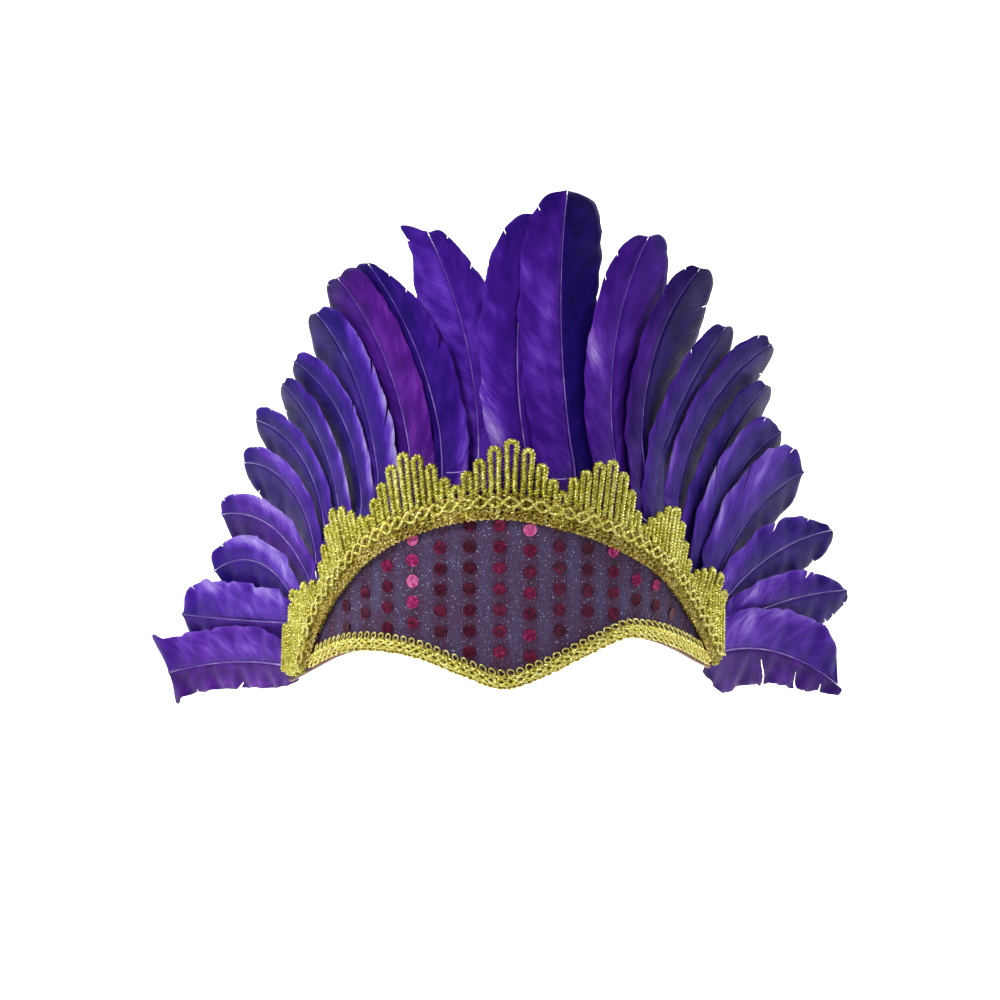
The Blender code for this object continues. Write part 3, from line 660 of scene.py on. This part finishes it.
# Feathers: goose feathers dyed violet, each a quill glued behind the plate with two vanes of close barbs.
# The dye takes unevenly, so the vanes run from navy to violet. Their colour also carries painted light: a
# painted lavender sheen along inner edges and in patches where they catch light, painted highlights on fold
# crests, and painted shade at their feet.
FEATHER_LENGTH = 110 * MM
VANE_WIDTH = 18 * MM
QUILL_BACK = -1.5 * MM
SET_BACK = 6.5 * MM
SETTLE_LENGTH = 32 * MM
VANE_TILT = 0.2
VANE_CAMBER = 2.5
QUILL_SWEEP = 0.45
QUILL_POINTS = 25
CURL_STEPS = 60
SPARE_STEPS = 6  # past the tip, for vanes that reach beyond the shaft
SHAFT_SIDES = 8
SHAFT_RINGS = 46
VANE_THICKNESS = 0.12 * MM
VANE_ROLL = 1.3 * MM
BARB_PITCH = 0.5 * MM
BARB_LEAN = 0.95
# How far a barb bows along and across the feather, and the shares of its length at which it bends
BOW_ALONG = 0.66
BOW_ACROSS = 0.56
BARB_SHARES = np.array((0.0, 0.12, 0.27, 0.43, 0.60, 0.76, 0.90, 1.0))
# dye_in and dye_out: how light the dye is on the inner and the outer vane. edge: painted sheen, how much
# lighter the inner vane is painted along its edge. warm_in and warm_out: share of magenta in it. ruffle:
# waves of the vanes, in mm.
FEATHERS = (
    # name, seat s, seat z, edge s, edge z, angle, turn, length, inner, outer, back, foot,
    #     tip_in, tip_out, dye_in, dye_out, edge (painted sheen), warm_in, warm_out, ruffle
    ("left_1", -0.815, -0.35, -1.1, -0.49, -92, -15, 0.92, 1.05, 0.8, 0.1, 0.65,
     "square", "square", 0.45, 0.37, 0.1, 0.4, 0.9, 1.4),
    ("left_2", -0.79, -0.225, -1.11, -0.1, -95, 4, 0.77, 1.0, 0.95, 0.25, 0.65,
     "lobe", "round", 0.44, 0.38, 0.2, 0.1, 0.4, 1.5),
    ("left_3", -0.77, -0.12, -1.02, 0.12, -47, -73, 0.69, 0.66, 1.15, 0.4, 0.6,
     "round", "round", 0.43, 0.33, 0.22, 0.05, 0.1, 1.5),
    ("left_4", -0.745, -0.01, -0.94, 0.36, -44, -57, 0.76, 0.6, 1.2, 0.6, 0.7,
     "round", "round", 0.42, 0.3, 0.28, 0.25, 0.6, 0.8),
    ("left_5", -0.715, 0.1, -0.915, 0.57, -17, -78, 0.7, 0.55, 1.3, 0.93, 0.8,
     "round", "broad", 0.37, 0.29, 0.28, 0.1, 0.2, 0.6),
    ("left_6", -0.67, 0.22, -0.87, 0.76, -7, -74, 0.695, 0.6, 1.45, 1.18, 0.6,
     "round", "broad", 0.32, 0.25, 0.34, 0.0, 0.1, 0.5),
    ("left_7", -0.61, 0.34, -0.76, 0.93, -9, -42, 0.645, 0.66, 1.6, 1.1, 0.3,
     "round", "broad", 0.3, 0.22, 0.4, 0.0, 0.0, 0.5),
    ("left_8", -0.545, 0.46, -0.63, 1.05, 0, -64, 0.725, 0.66, 1.6, 1.3, 0.15,
     "round", "broad", 0.33, 0.26, 0.38, 0.0, 0.0, 0.5),
    ("left_9", -0.445, 0.66, -0.51, 1.3, -7, -34, 0.735, 0.85, 1.65, 1.15, 0.05,
     "round", "broad", 0.34, 0.27, 0.42, 0.0, 0.1, 0.5),
    ("left_10", -0.33, 0.82, -0.355, 1.55, -9, -33, 0.765, 0.8, 1.75, 1.05, 0.05,
     "blunt", "broad", 0.44, 0.34, 0.08, 1.0, 0.7, 0.4),
    ("left_11", -0.21, 0.94, -0.23, 1.7, -11, -28, 0.74, 0.8, 1.55, 1.0, 0.05,
     "point", "broad", 0.32, 0.25, 0.2, 0.1, 0.1, 0.4),
    ("left_12", -0.09, 0.98, -0.09, 1.64, -2, -25, 0.84, 1.0, 1.1, 1.4, 0.05,
     "cut", "hook", 0.48, 0.52, 0.0, 0.2, 0.15, 0.4),
    ("right_1", 0.06, 0.98, 0.075, 1.65, -10, 27, 0.88, 0.95, 1.05, 1.0, 0.05,
     "round", "round", 0.43, 0.43, 0.1, 0.2, 0.2, 0.4),
    ("right_2", 0.215, 0.88, 0.25, 1.58, -10, 16, 1.0, 1.08, 1.15, 1.0, 0.05,
     "round", "blunt", 0.46, 0.18, 0.0, 0.3, 0.0, 0.4),
    ("right_3", 0.36, 0.73, 0.43, 1.55, -11, 37, 0.86, 0.8, 1.75, 1.0, 0.05,
     "round", "broad", 0.44, 0.44, 0.06, 0.4, 0.3, 0.4),
    ("right_4", 0.47, 0.57, 0.575, 1.62, -3, 41, 0.74, 0.65, 1.95, 1.05, 0.05,
     "round", "broad", 0.24, 0.18, 0.2, 0.5, 0.3, 0.5),
    ("right_5", 0.56, 0.39, 0.7, 1.53, 28, 4, 0.58, 0.74, 1.7, 0.98, 0.05,
     "round", "broad", 0.28, 0.2, 0.24, 0.2, 0.2, 0.5),
    ("right_6", 0.645, 0.22, 0.84, 1.08, 11, 48, 0.81, 0.82, 1.55, 1.15, 0.1,
     "round", "broad", 0.28, 0.22, 0.26, 0.2, 0.2, 0.6),
    ("right_7", 0.71, 0.1, 0.925, 0.68, 22, 21, 0.78, 0.8, 1.6, 1.0, 0.3,
     "round", "broad", 0.26, 0.2, 0.3, 0.1, 0.2, 0.6),
    ("right_8", 0.775, -0.01, 0.98, 0.36, 17, 50, 0.83, 1.0, 1.6, 0.72, 0.5,
     "slant", "broad", 0.27, 0.21, 0.32, 0.1, 0.3, 0.6),
    ("right_9", 0.815, -0.095, 1.08, 0.29, 38, 36, 0.8, 1.3, 1.1, 0.65, 0.55,
     "slant", "round", 0.3, 0.24, 0.26, 0.1, 0.3, 0.8),
    ("right_10", 0.83, -0.175, 1.105, 0.07, 59, 27, 0.89, 0.9, 1.05, 0.5, 0.55,
     "point", "broad", 0.3, 0.24, 0.22, 0.1, 0.2, 1.0),
    ("right_11", 0.845, -0.26, 1.155, -0.14, 78, 14, 0.89, 0.8, 1.05, 0.33, 0.6,
     "point", "broad", 0.38, 0.29, 0.2, 0.2, 0.3, 1.1),
    ("right_12", 0.865, -0.345, 1.05, -0.36, 88, 35, 0.985, 1.12, 0.85, 0.08, 0.6,
     "slant", "hem", 0.43, 0.33, 0.14, 0.2, 0.8, 1.2),
)
# Edge of a vane from its foot round its tip: share of the feather's length, share of the vane's width
VANE_FOOT = ((0.0, 0.52), (0.06, 0.7), (0.15, 0.85), (0.3, 0.96))
VANE_EDGES = {
    "round": VANE_FOOT + ((0.5, 1.02), (0.7, 1.0), (0.84, 0.92), (0.93, 0.74), (0.98, 0.42), (1.0, 0.0)),
    "blunt": ((0.0, 0.52), (0.06, 0.7), (0.15, 0.84), (0.3, 0.94), (0.5, 1.01), (0.72, 1.03),
              (0.87, 0.98), (0.955, 0.8), (0.99, 0.45), (1.0, 0.0)),
    "point": VANE_FOOT + ((0.48, 1.02), (0.64, 0.96), (0.78, 0.74), (0.9, 0.42), (0.97, 0.18), (1.0, 0.0)),
    "slant": VANE_FOOT + ((0.5, 1.04), (0.66, 1.08), (0.78, 1.04), (0.89, 0.8), (0.96, 0.34), (1.0, 0.0)),
    "lobe": VANE_FOOT + ((0.5, 1.04), (0.68, 1.06),
             (0.8, 1.02), (0.89, 0.9), (0.94, 0.56), (0.97, 0.24), (1.0, 0.0)),
    "broad": VANE_FOOT + ((0.5, 1.02), (0.7, 1.04),
              (0.83, 0.99), (0.92, 0.84), (0.985, 0.6), (1.025, 0.38), (1.03, 0.18), (1.0, 0.0)),
    "hook": VANE_FOOT + ((0.5, 1.02), (0.7, 1.0),
             (0.82, 0.93), (0.89, 0.8), (0.95, 0.6), (1.01, 0.54), (1.07, 0.53), (1.05, 0.3), (1.0, 0.0)),
    "cut": VANE_FOOT + ((0.5, 1.02), (0.66, 1.0),
            (0.8, 0.8), (0.9, 0.58), (0.96, 0.4), (0.99, 0.26), (1.0, 0.0)),
    "hem": ((0.0, 0.5), (0.06, 0.8), (0.14, 1.2), (0.24, 1.42), (0.34, 1.34), (0.45, 1.18), (0.6, 1.02),
            (0.74, 0.86), (0.84, 0.78), (0.92, 0.52), (1.0, 0.36), (1.05, 0.16), (1.0, 0.0)),
    "square": ((0.0, 0.36), (0.06, 0.56), (0.15, 0.78), (0.35, 0.92), (0.6, 0.92), (0.8, 0.9),
               (0.92, 0.96), (1.0, 1.06), (0.995, 0.75), (0.975, 0.4), (0.96, 0.0)),
}
# Wide splits: feather, vane (-1 inner, 1 outer), share along, share of the vane's depth, opening in mm
SPLITS = (
    ("left_1", 1, 0.45, 0.3, 1.6),
    ("left_7", -1, 0.55, 0.3, 1.2),
    ("left_8", -1, 0.62, 0.25, 1.2),
    ("left_9", -1, 0.5, 0.35, 1.5),
    ("left_9", -1, 0.66, 0.25, 1.2),
    ("left_11", -1, 0.62, 0.3, 1.8),
    ("right_6", 1, 0.55, 0.3, 1.8),
    ("right_7", -1, 0.6, 0.3, 1.4),
    ("right_8", -1, 0.55, 0.4, 2.2),
    ("right_9", -1, 0.58, 0.35, 2.0),
    ("right_10", -1, 0.62, 0.3, 1.6),
    ("right_11", -1, 0.72, 0.3, 1.4),
    ("right_12", 1, 0.5, 0.75, 1.6),
    ("right_12", 1, 0.7, 0.5, 1.2),
    ("right_12", 1, 0.84, 0.4, 1.5),
)
# Painted highlights, patches painted lighter where the vanes catch the light: feather, vane, share along,
# share of depth, spread along and across, amount
PAINTED_HIGHLIGHTS = (
    ("left_1", -1, 0.45, 0.35, 0.3, 0.22, 0.14),
    ("left_1", 1, 0.3, 0.75, 0.22, 0.25, 0.14),
    ("left_2", -1, 0.22, 0.75, 0.14, 0.3, 0.26),
    ("left_2", -1, 0.5, 0.3, 0.2, 0.22, 0.18),
    ("left_2", -1, 0.72, 0.8, 0.12, 0.2, 0.2),
    ("left_3", -1, 0.38, 0.55, 0.2, 0.4, 0.34),
    ("left_3", -1, 0.66, 0.8, 0.14, 0.22, 0.26),
    ("left_4", -1, 0.5, 0.7, 0.3, 0.3, 0.2),
    ("left_4", 1, 0.6, 0.3, 0.25, 0.25, 0.22),
    ("left_5", -1, 0.62, 0.6, 0.18, 0.35, 0.22),
    ("left_6", 1, 0.55, 0.25, 0.3, 0.2, 0.14),
    ("left_7", -1, 0.4, 0.85, 0.16, 0.22, 0.2),
    ("left_8", -1, 0.4, 0.85, 0.2, 0.25, 0.22),
    ("left_9", -1, 0.35, 0.85, 0.22, 0.35, 0.26),
    ("left_10", 1, 0.75, 0.4, 0.15, 0.3, 0.14),
    ("left_11", -1, 0.2, 0.75, 0.14, 0.35, 0.34),
    ("right_1", -1, 0.34, 0.75, 0.1, 0.35, 0.26),
    ("right_2", -1, 0.62, 0.45, 0.22, 0.3, 0.1),
    ("right_3", -1, 0.62, 0.75, 0.08, 0.4, 0.3),
    ("right_3", 1, 0.72, 0.55, 0.14, 0.3, 0.1),
    ("right_4", -1, 0.75, 0.45, 0.14, 0.3, 0.18),
    ("right_6", -1, 0.45, 0.8, 0.1, 0.25, 0.24),
    ("right_7", 1, 0.6, 0.45, 0.12, 0.25, 0.18),
    ("right_8", -1, 0.55, 0.8, 0.12, 0.3, 0.3),
    ("right_9", -1, 0.4, 0.8, 0.1, 0.25, 0.34),
    ("right_9", -1, 0.7, 0.6, 0.12, 0.4, 0.3),
    ("right_10", -1, 0.3, 0.6, 0.16, 0.4, 0.26),
    ("right_11", -1, 0.36, 0.6, 0.18, 0.35, 0.28),
    ("right_12", -1, 0.3, 0.55, 0.18, 0.45, 0.28),
    ("right_12", -1, 0.55, 0.85, 0.12, 0.25, 0.16),
)

barbs, tree, shader = new_material("dyed_goose_barbs")
lie = add_node(tree, "UVMap", uv_map="barbs").outputs["UV"]
dye_and_painted_light = add_node(tree, "Attribute", attribute_name="dye_and_painted_light").outputs["Fac"]
warm = add_node(tree, "Attribute", attribute_name="warm").outputs["Fac"]
fine = noise(tree, lie, 1.0, 3.0, stretch=(0.8, 0.8, 1.0))
broad = noise(tree, lie, 1.0, 3.0, stretch=(0.06, 0.7, 1.0))
lit = add_node(tree, "MapRange", [("Value", dye_and_painted_light), ("From Min", 0.4), ("From Max", 0.85),
                                  ("To Min", 0.12), ("To Max", 0.7)])
hair = calculate(tree, "MULTIPLY", calculate(tree, "SUBTRACT", fine, 0.5), lit.outputs[0])
band = calculate(tree, "MULTIPLY", calculate(tree, "SUBTRACT", broad, 0.5), 0.55)
tone = calculate(tree, "ADD", dye_and_painted_light, calculate(tree, "ADD", hair, band))
cool_dye = colour_steps(tree, tone, (0.05, "#100840"), (0.25, "#1E0E64"), (0.45, "#3A1886"),
                        (0.6, "#5630AC"), (0.75, "#7C62C2"), (1.0, "#BCB2E4"))
warm_dye = colour_steps(tree, tone, (0.05, "#1A0838"), (0.25, "#300E56"), (0.45, "#4C167E"),
                        (0.6, "#6A2A9A"), (0.75, "#8E5AB8"), (1.0, "#C4ACDE"))
dyed_and_lit_colour = add_node(tree, "Mix", [(0, warm), (6, cool_dye), (7, warm_dye)], data_type="RGBA")
set_inputs(tree, shader, [
    ("Base Color", dyed_and_lit_colour.outputs[2]), ("Normal", relief(tree, fine, 0.0003)), ("Roughness", 0.5),
    ("Specular IOR Level", 0.2), ("Specular Tint", linear("#6A44E0"))])

# The shaft is horn, so it takes less dye than the barbs and shines more: a pale violet line.
shaft_horn, tree, shader = new_material("dyed_quill_horn")
cloud = noise(tree, own_place(tree), 120.0)
set_inputs(tree, shader, [
    ("Base Color", colour_steps(tree, cloud, (0.3, "#4E2E90"), (0.55, "#7452B4"), (0.75, "#A88ED4"))),
    ("Roughness", 0.3)])


def feather_axis(row):
    """Arrays of s, z, angle and length along a feather's axis, its length under the trim, and the whole."""
    seat_s, seat_z, edge_s, edge_z, angle, turn, length = row[1:8]
    seat = Vector((seat_s * PLATE_HALF_LENGTH, seat_z * PLATE_RISE))
    edge = Vector((edge_s * PLATE_HALF_LENGTH, edge_z * PLATE_RISE))
    angle, turn = math.radians(angle), math.radians(turn)
    heading = Vector((math.sin(angle), math.cos(angle)))
    handle = edge - heading * (edge - seat).length * QUILL_SWEEP
    line = [Vector(point[:2]) for point in interpolate_bezier(
        seat, seat + (handle - seat) * 0.5, handle, edge, QUILL_POINTS)]
    step = length * FEATHER_LENGTH / CURL_STEPS
    for i in range(CURL_STEPS + SPARE_STEPS):
        toward = angle + turn * min((i + 0.5) / CURL_STEPS, 1.0)
        line.append(line[-1] + step * Vector((math.sin(toward), math.cos(toward))))
    line = np.array([point[:] for point in line])
    run = run_along(*line.T)
    toward = np.unwrap(np.arctan2(np.gradient(line[:, 0], run), np.gradient(line[:, 1], run)))
    return line[:, 0], line[:, 1], toward, run, run[QUILL_POINTS - 1], run[QUILL_POINTS - 1 + CURL_STEPS]


def vane_edge(rows, length, width):
    """Evenly spaced points (along, across) on a vane's edge, one for each barb."""
    rows = np.array(rows) * (length, width)
    chord = run_along(*rows.T)
    dense = np.linspace(0, chord[-1], 500)
    along = smooth(list(zip(chord, rows[:, 0])), dense)
    across = np.maximum(smooth(list(zip(chord, rows[:, 1])), dense), 0)
    run = run_along(along, across)
    even = np.linspace(0, run[-1], int(run[-1] / BARB_PITCH))
    return np.interp(even, run, along), np.interp(even, run, across)


for number, row in enumerate(FEATHERS):
    name = row[0]
    (inner, outer, set_back, foot, tip_in, tip_out, dye_in, dye_out, painted_edge_sheen, warm_in, warm_out,
     ruffle) = row[8:]
    side = 1 if name.startswith("right") else -1
    # left_12 stands where the two halves of the fan meet, so it lies flat
    tilt = 0.0 if name == "left_12" else VANE_TILT
    line_s, line_z, line_angle, line_run, hidden, total = feather_axis(row)
    foot_run = foot * hidden
    dice = random.Random(100 + number)

    def on_feather(run, across, lift):
        """Points in space at a length along the feather, a distance across it and a lift to the front."""
        s, z, angle = (np.interp(run, line_run, line) for line in (line_s, line_z, line_angle))
        settled = np.clip(1 - (hidden - run) / SETTLE_LENGTH, 0, 1)
        n = QUILL_BACK - SET_BACK * set_back * settled - tilt * across - VANE_CAMBER * across ** 2 + lift
        return place(s + side * across * np.cos(angle), z - side * across * np.sin(angle), n)

    points, faces, uvs, dye_and_light_values, warms = [], [], [], [], []
    count = 0
    phase = dice.uniform(0, 6.28)
    for vane, share, tip, vane_dye, edge_sheen_gain, warmth in (
            (-1, inner, tip_in, dye_in, painted_edge_sheen, warm_in), (1, outer, tip_out, dye_out, 0.0, warm_out)):
        along, across = vane_edge(VANE_EDGES[tip], total - foot_run, share * VANE_WIDTH)
        barb_count = len(along)
        index = np.arange(barb_count)
        q = index / (barb_count - 1)
        start = np.maximum.accumulate(np.maximum(along - BARB_LEAN * across, index * 0.02 * MM))
        # Barbs hold together in locks of 4 to 13 hundredths of the vane, each longer or shorter than the next
        cuts = [(at, depth, gap) for who, which, at, depth, gap in SPLITS if who == name and which == vane]
        place_at = dice.uniform(4, 10)
        while place_at < 96:
            cuts.append((place_at / 100, dice.choice((0.03, 0.05, 0.09)), dice.uniform(0.03, 0.12)))
            place_at += dice.uniform(4.0, 13.0)
        cuts.sort()
        edges = [int(cut[0] * barb_count) for cut in cuts]
        shift = np.zeros((barb_count, len(BARB_SHARES)))
        for (_, depth, gap), cut in zip(cuts, edges):
            open_at = np.clip((BARB_SHARES - (1 - depth)) / depth, 0, 1) ** 1.3
            fade = np.exp(-np.abs(index - cut + 0.5) * BARB_PITCH / (2.5 * gap * MM + 0.8 * MM))
            shift += np.where(index < cut, -1, 1)[:, None] * (gap * MM / 2) * fade[:, None] * open_at
        reach = 1 + 0.022 * np.sin(index / 9 + phase) + 0.014 * np.sin(index / 4.1 + 2 * phase)
        for low, high in zip([0] + edges, edges + [barb_count]):
            within = (np.arange(low, high) - low) / max(high - low, 1)
            reach[low:high] += dice.uniform(-0.02, 0.02) - 0.05 * np.abs(within - 0.4)
        reach += np.array([dice.uniform(-0.007, 0.007) for _ in range(barb_count)])
        t = BARB_SHARES[None, :]
        depth_run = ((along - start) * (1 + 0.5 * (reach - 1)))[:, None]
        at = foot_run + start[:, None] + depth_run * (BOW_ALONG * t * (1 - t) + t * t) + shift
        out = vane * (0.15 * MM + (across * reach)[:, None] * (2 * BOW_ACROSS * t * (1 - t) + t * t))
        ridge = np.where(index % 2 == 0, 0.02, -0.02)[:, None] * MM * np.minimum(t * 4, 1)
        fold = 0.6 * np.sin(at / (3.6 * MM) + phase + 1.5 * t) + 0.4 * np.sin(at / (1.9 * MM) + 2 * phase)
        wave = ruffle * MM * t * fold
        lift = ridge + wave - VANE_ROLL * t ** 2
        points.append(on_feather(at, out, lift).reshape(-1, 3))
        uvs.append(np.stack([index[:, None] + 0 * t + 1000 * number, 3 * t * vane + 0 * at],
                            -1).reshape(-1, 2))
        # Painted sheen: the inner vane's colour is lighter towards its edge, most at the middle of its length
        near_edge = np.clip((t - 0.3) / 0.7, 0, 1) ** 2.2
        tone = vane_dye + edge_sheen_gain * near_edge * np.sin(math.pi * q)[:, None] ** 0.5
        tone = tone - 0.20 * np.clip((q - 0.72) / 0.28, 0, 1)[:, None] * (0.4 + 0.6 * t)
        # Painted shade darkens each vane at its foot by the trim, and a painted highlight lightens the crests
        # of its folds
        tone = tone - 0.12 * np.clip((0.3 - q) / 0.3, 0, 1)[:, None] + 0.05 * min(ruffle, 2.0) * t * fold
        # Painted highlights: patches of the vane painted lighter where it catches the light
        for who, which, along_at, across_at, along_spread, across_spread, amount in PAINTED_HIGHLIGHTS:
            if who == name and which == vane:
                tone = tone + amount * np.exp(-((q - along_at) / along_spread) ** 2)[:, None] * np.exp(
                    -((t - across_at) / across_spread) ** 2)
        lock_tone = np.repeat([dice.uniform(-0.05, 0.05) for _ in range(len(edges) + 1)],
                              np.diff([0] + edges + [barb_count]))
        dye_and_light_values.append((tone + lock_tone[:, None] * t).ravel())
        k = len(BARB_SHARES)
        warms.append(np.full(barb_count * k, warmth))
        closed = np.ones(barb_count)
        for (_, depth, _), cut in zip(cuts, edges):
            closed[cut - 1] = min(closed[cut - 1], 1 - depth)
        for i in range(barb_count - 1):
            for j in range(k - 1):
                if BARB_SHARES[j + 1] <= closed[i] + 0.06:
                    a = count + i * k + j
                    faces.append((a, a + 1, a + k + 1, a + k) if vane * side > 0 else
                                 (a, a + k, a + k + 1, a + 1))
        count += barb_count * k
    feather = new_piece("goose_" + name, np.concatenate(points), faces, barbs, shaft_horn)
    set_uv(feather, "barbs", np.concatenate(uvs))
    # The vanes' tone goes on them with its painted sheen, highlights and shade included
    for attribute, values in (("dye_and_painted_light", dye_and_light_values), ("warm", warms)):
        feather.data.attributes.new(attribute, "FLOAT", "POINT").data.foreach_set(
            "value", np.concatenate(values))
    apply_modifier(feather, "SOLIDIFY", thickness=VANE_THICKNESS, offset=0.0)
    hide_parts("feather_" + name)

    run = np.linspace(0, total - 2 * MM, SHAFT_RINGS)
    radius = np.interp(run / total, (0, 0.25, 0.5, 1), (1.0, 0.46, 0.3, 0.1)) * MM
    turn = math.tau * np.arange(SHAFT_SIDES) / SHAFT_SIDES
    tube = on_feather(run[:, None] + 0 * turn, radius[:, None] * np.cos(turn),
                      radius[:, None] * np.sin(turn))
    shaft = new_piece("shaft_" + name, tube, tube_faces(0, SHAFT_RINGS, SHAFT_SIDES), shaft_horn)

# Elastic band: black webbing woven over rubber cords, so that the headdress holds on heads of many sizes.
# It is glued inside the plate's two sides and led round the back of the head.
elastic, tree, shader = new_material("woven_elastic")
where = own_place(tree)
cords = add_node(tree, "TexWave", [("Vector", where), ("Scale", 160.0), ("Distortion", 0.6)],
                 bands_direction="Z").outputs["Fac"]
tone = calculate(tree, "MULTIPLY", cords, noise(tree, where, 1400.0, 3.0))
set_inputs(tree, shader, [
    ("Base Color", colour_steps(tree, tone, (0.0, "#0B0A0E"), (0.5, "#1C1A22"), (0.9, "#34303C"))),
    ("Normal", relief(tree, cords, 0.0004)), ("Roughness", 0.8)])
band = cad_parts["elastic_band"]
band.data.materials.clear()
band.data.materials.append(elastic)

# Studio: a white floor well below the headdress, swept up to a wall behind it, and soft light
FLOOR_LEVEL = -0.45
SWEEP_START = 1.5
SWEEP_RADIUS = 0.9
turn = np.linspace(0, math.pi / 2, 17)
profile_y = np.concatenate([[-3.0], SWEEP_START + SWEEP_RADIUS * np.sin(turn), [SWEEP_START + SWEEP_RADIUS]])
profile_z = np.concatenate([[0], SWEEP_RADIUS * (1 - np.cos(turn)), [4.0]]) + FLOOR_LEVEL
sweep_points = [(x, y, z) for x in (-5.0, 5.0) for y, z in zip(profile_y, profile_z)]
bends = len(profile_y)
sweep_faces = [(i, bends + i, bends + i + 1, i + 1) for i in range(bends - 1)]
paper, tree, shader = new_material("white_paper")
set_inputs(tree, shader, [("Base Color", linear("#F8F8F8")), ("Roughness", 0.9)])
new_object("floor", sweep_points, sweep_faces, paper)

world = bpy.data.worlds.new("studio")
bpy.context.scene.world = world
world.use_nodes = True
set_inputs(world.node_tree, world.node_tree.nodes["Background"], [
    ("Color", (1, 1, 1, 1)), ("Strength", 0.18)])
bpy.context.scene.view_settings.view_transform = "Standard"

# A key light, a fill, two lamps on the wall behind and one over the floor: place, aim, size, watts, colour
for spot, aim, size, power, colour in (
        ((-0.85, -1.0, 1.1), (0, 0.05, 0.06), 0.4, 20, "#FFFFFF"),
        ((0.9, -1.2, 0.4), (0, 0.05, 0.06), 0.8, 4, "#F2F0FF"),
        ((-1.6, 0.7, 1.2), (0.3, 2.4, 0.3), 1.2, 48, "#FFFFFF"),
        ((1.6, 0.7, 1.2), (-0.3, 2.4, 0.3), 1.2, 48, "#FFFFFF"),
        ((0.0, 1.3, 1.6), (0, 1.2, -0.45), 1.4, 30, "#FFFFFF")):
    bpy.ops.object.light_add(type="AREA", location=spot)
    lamp = bpy.context.object
    lamp.data.energy = power
    lamp.data.size = size
    lamp.data.color = linear(colour)[:3]
    lamp.rotation_euler = (Vector(aim) - lamp.location).to_track_quat("-Z", "Y").to_euler()
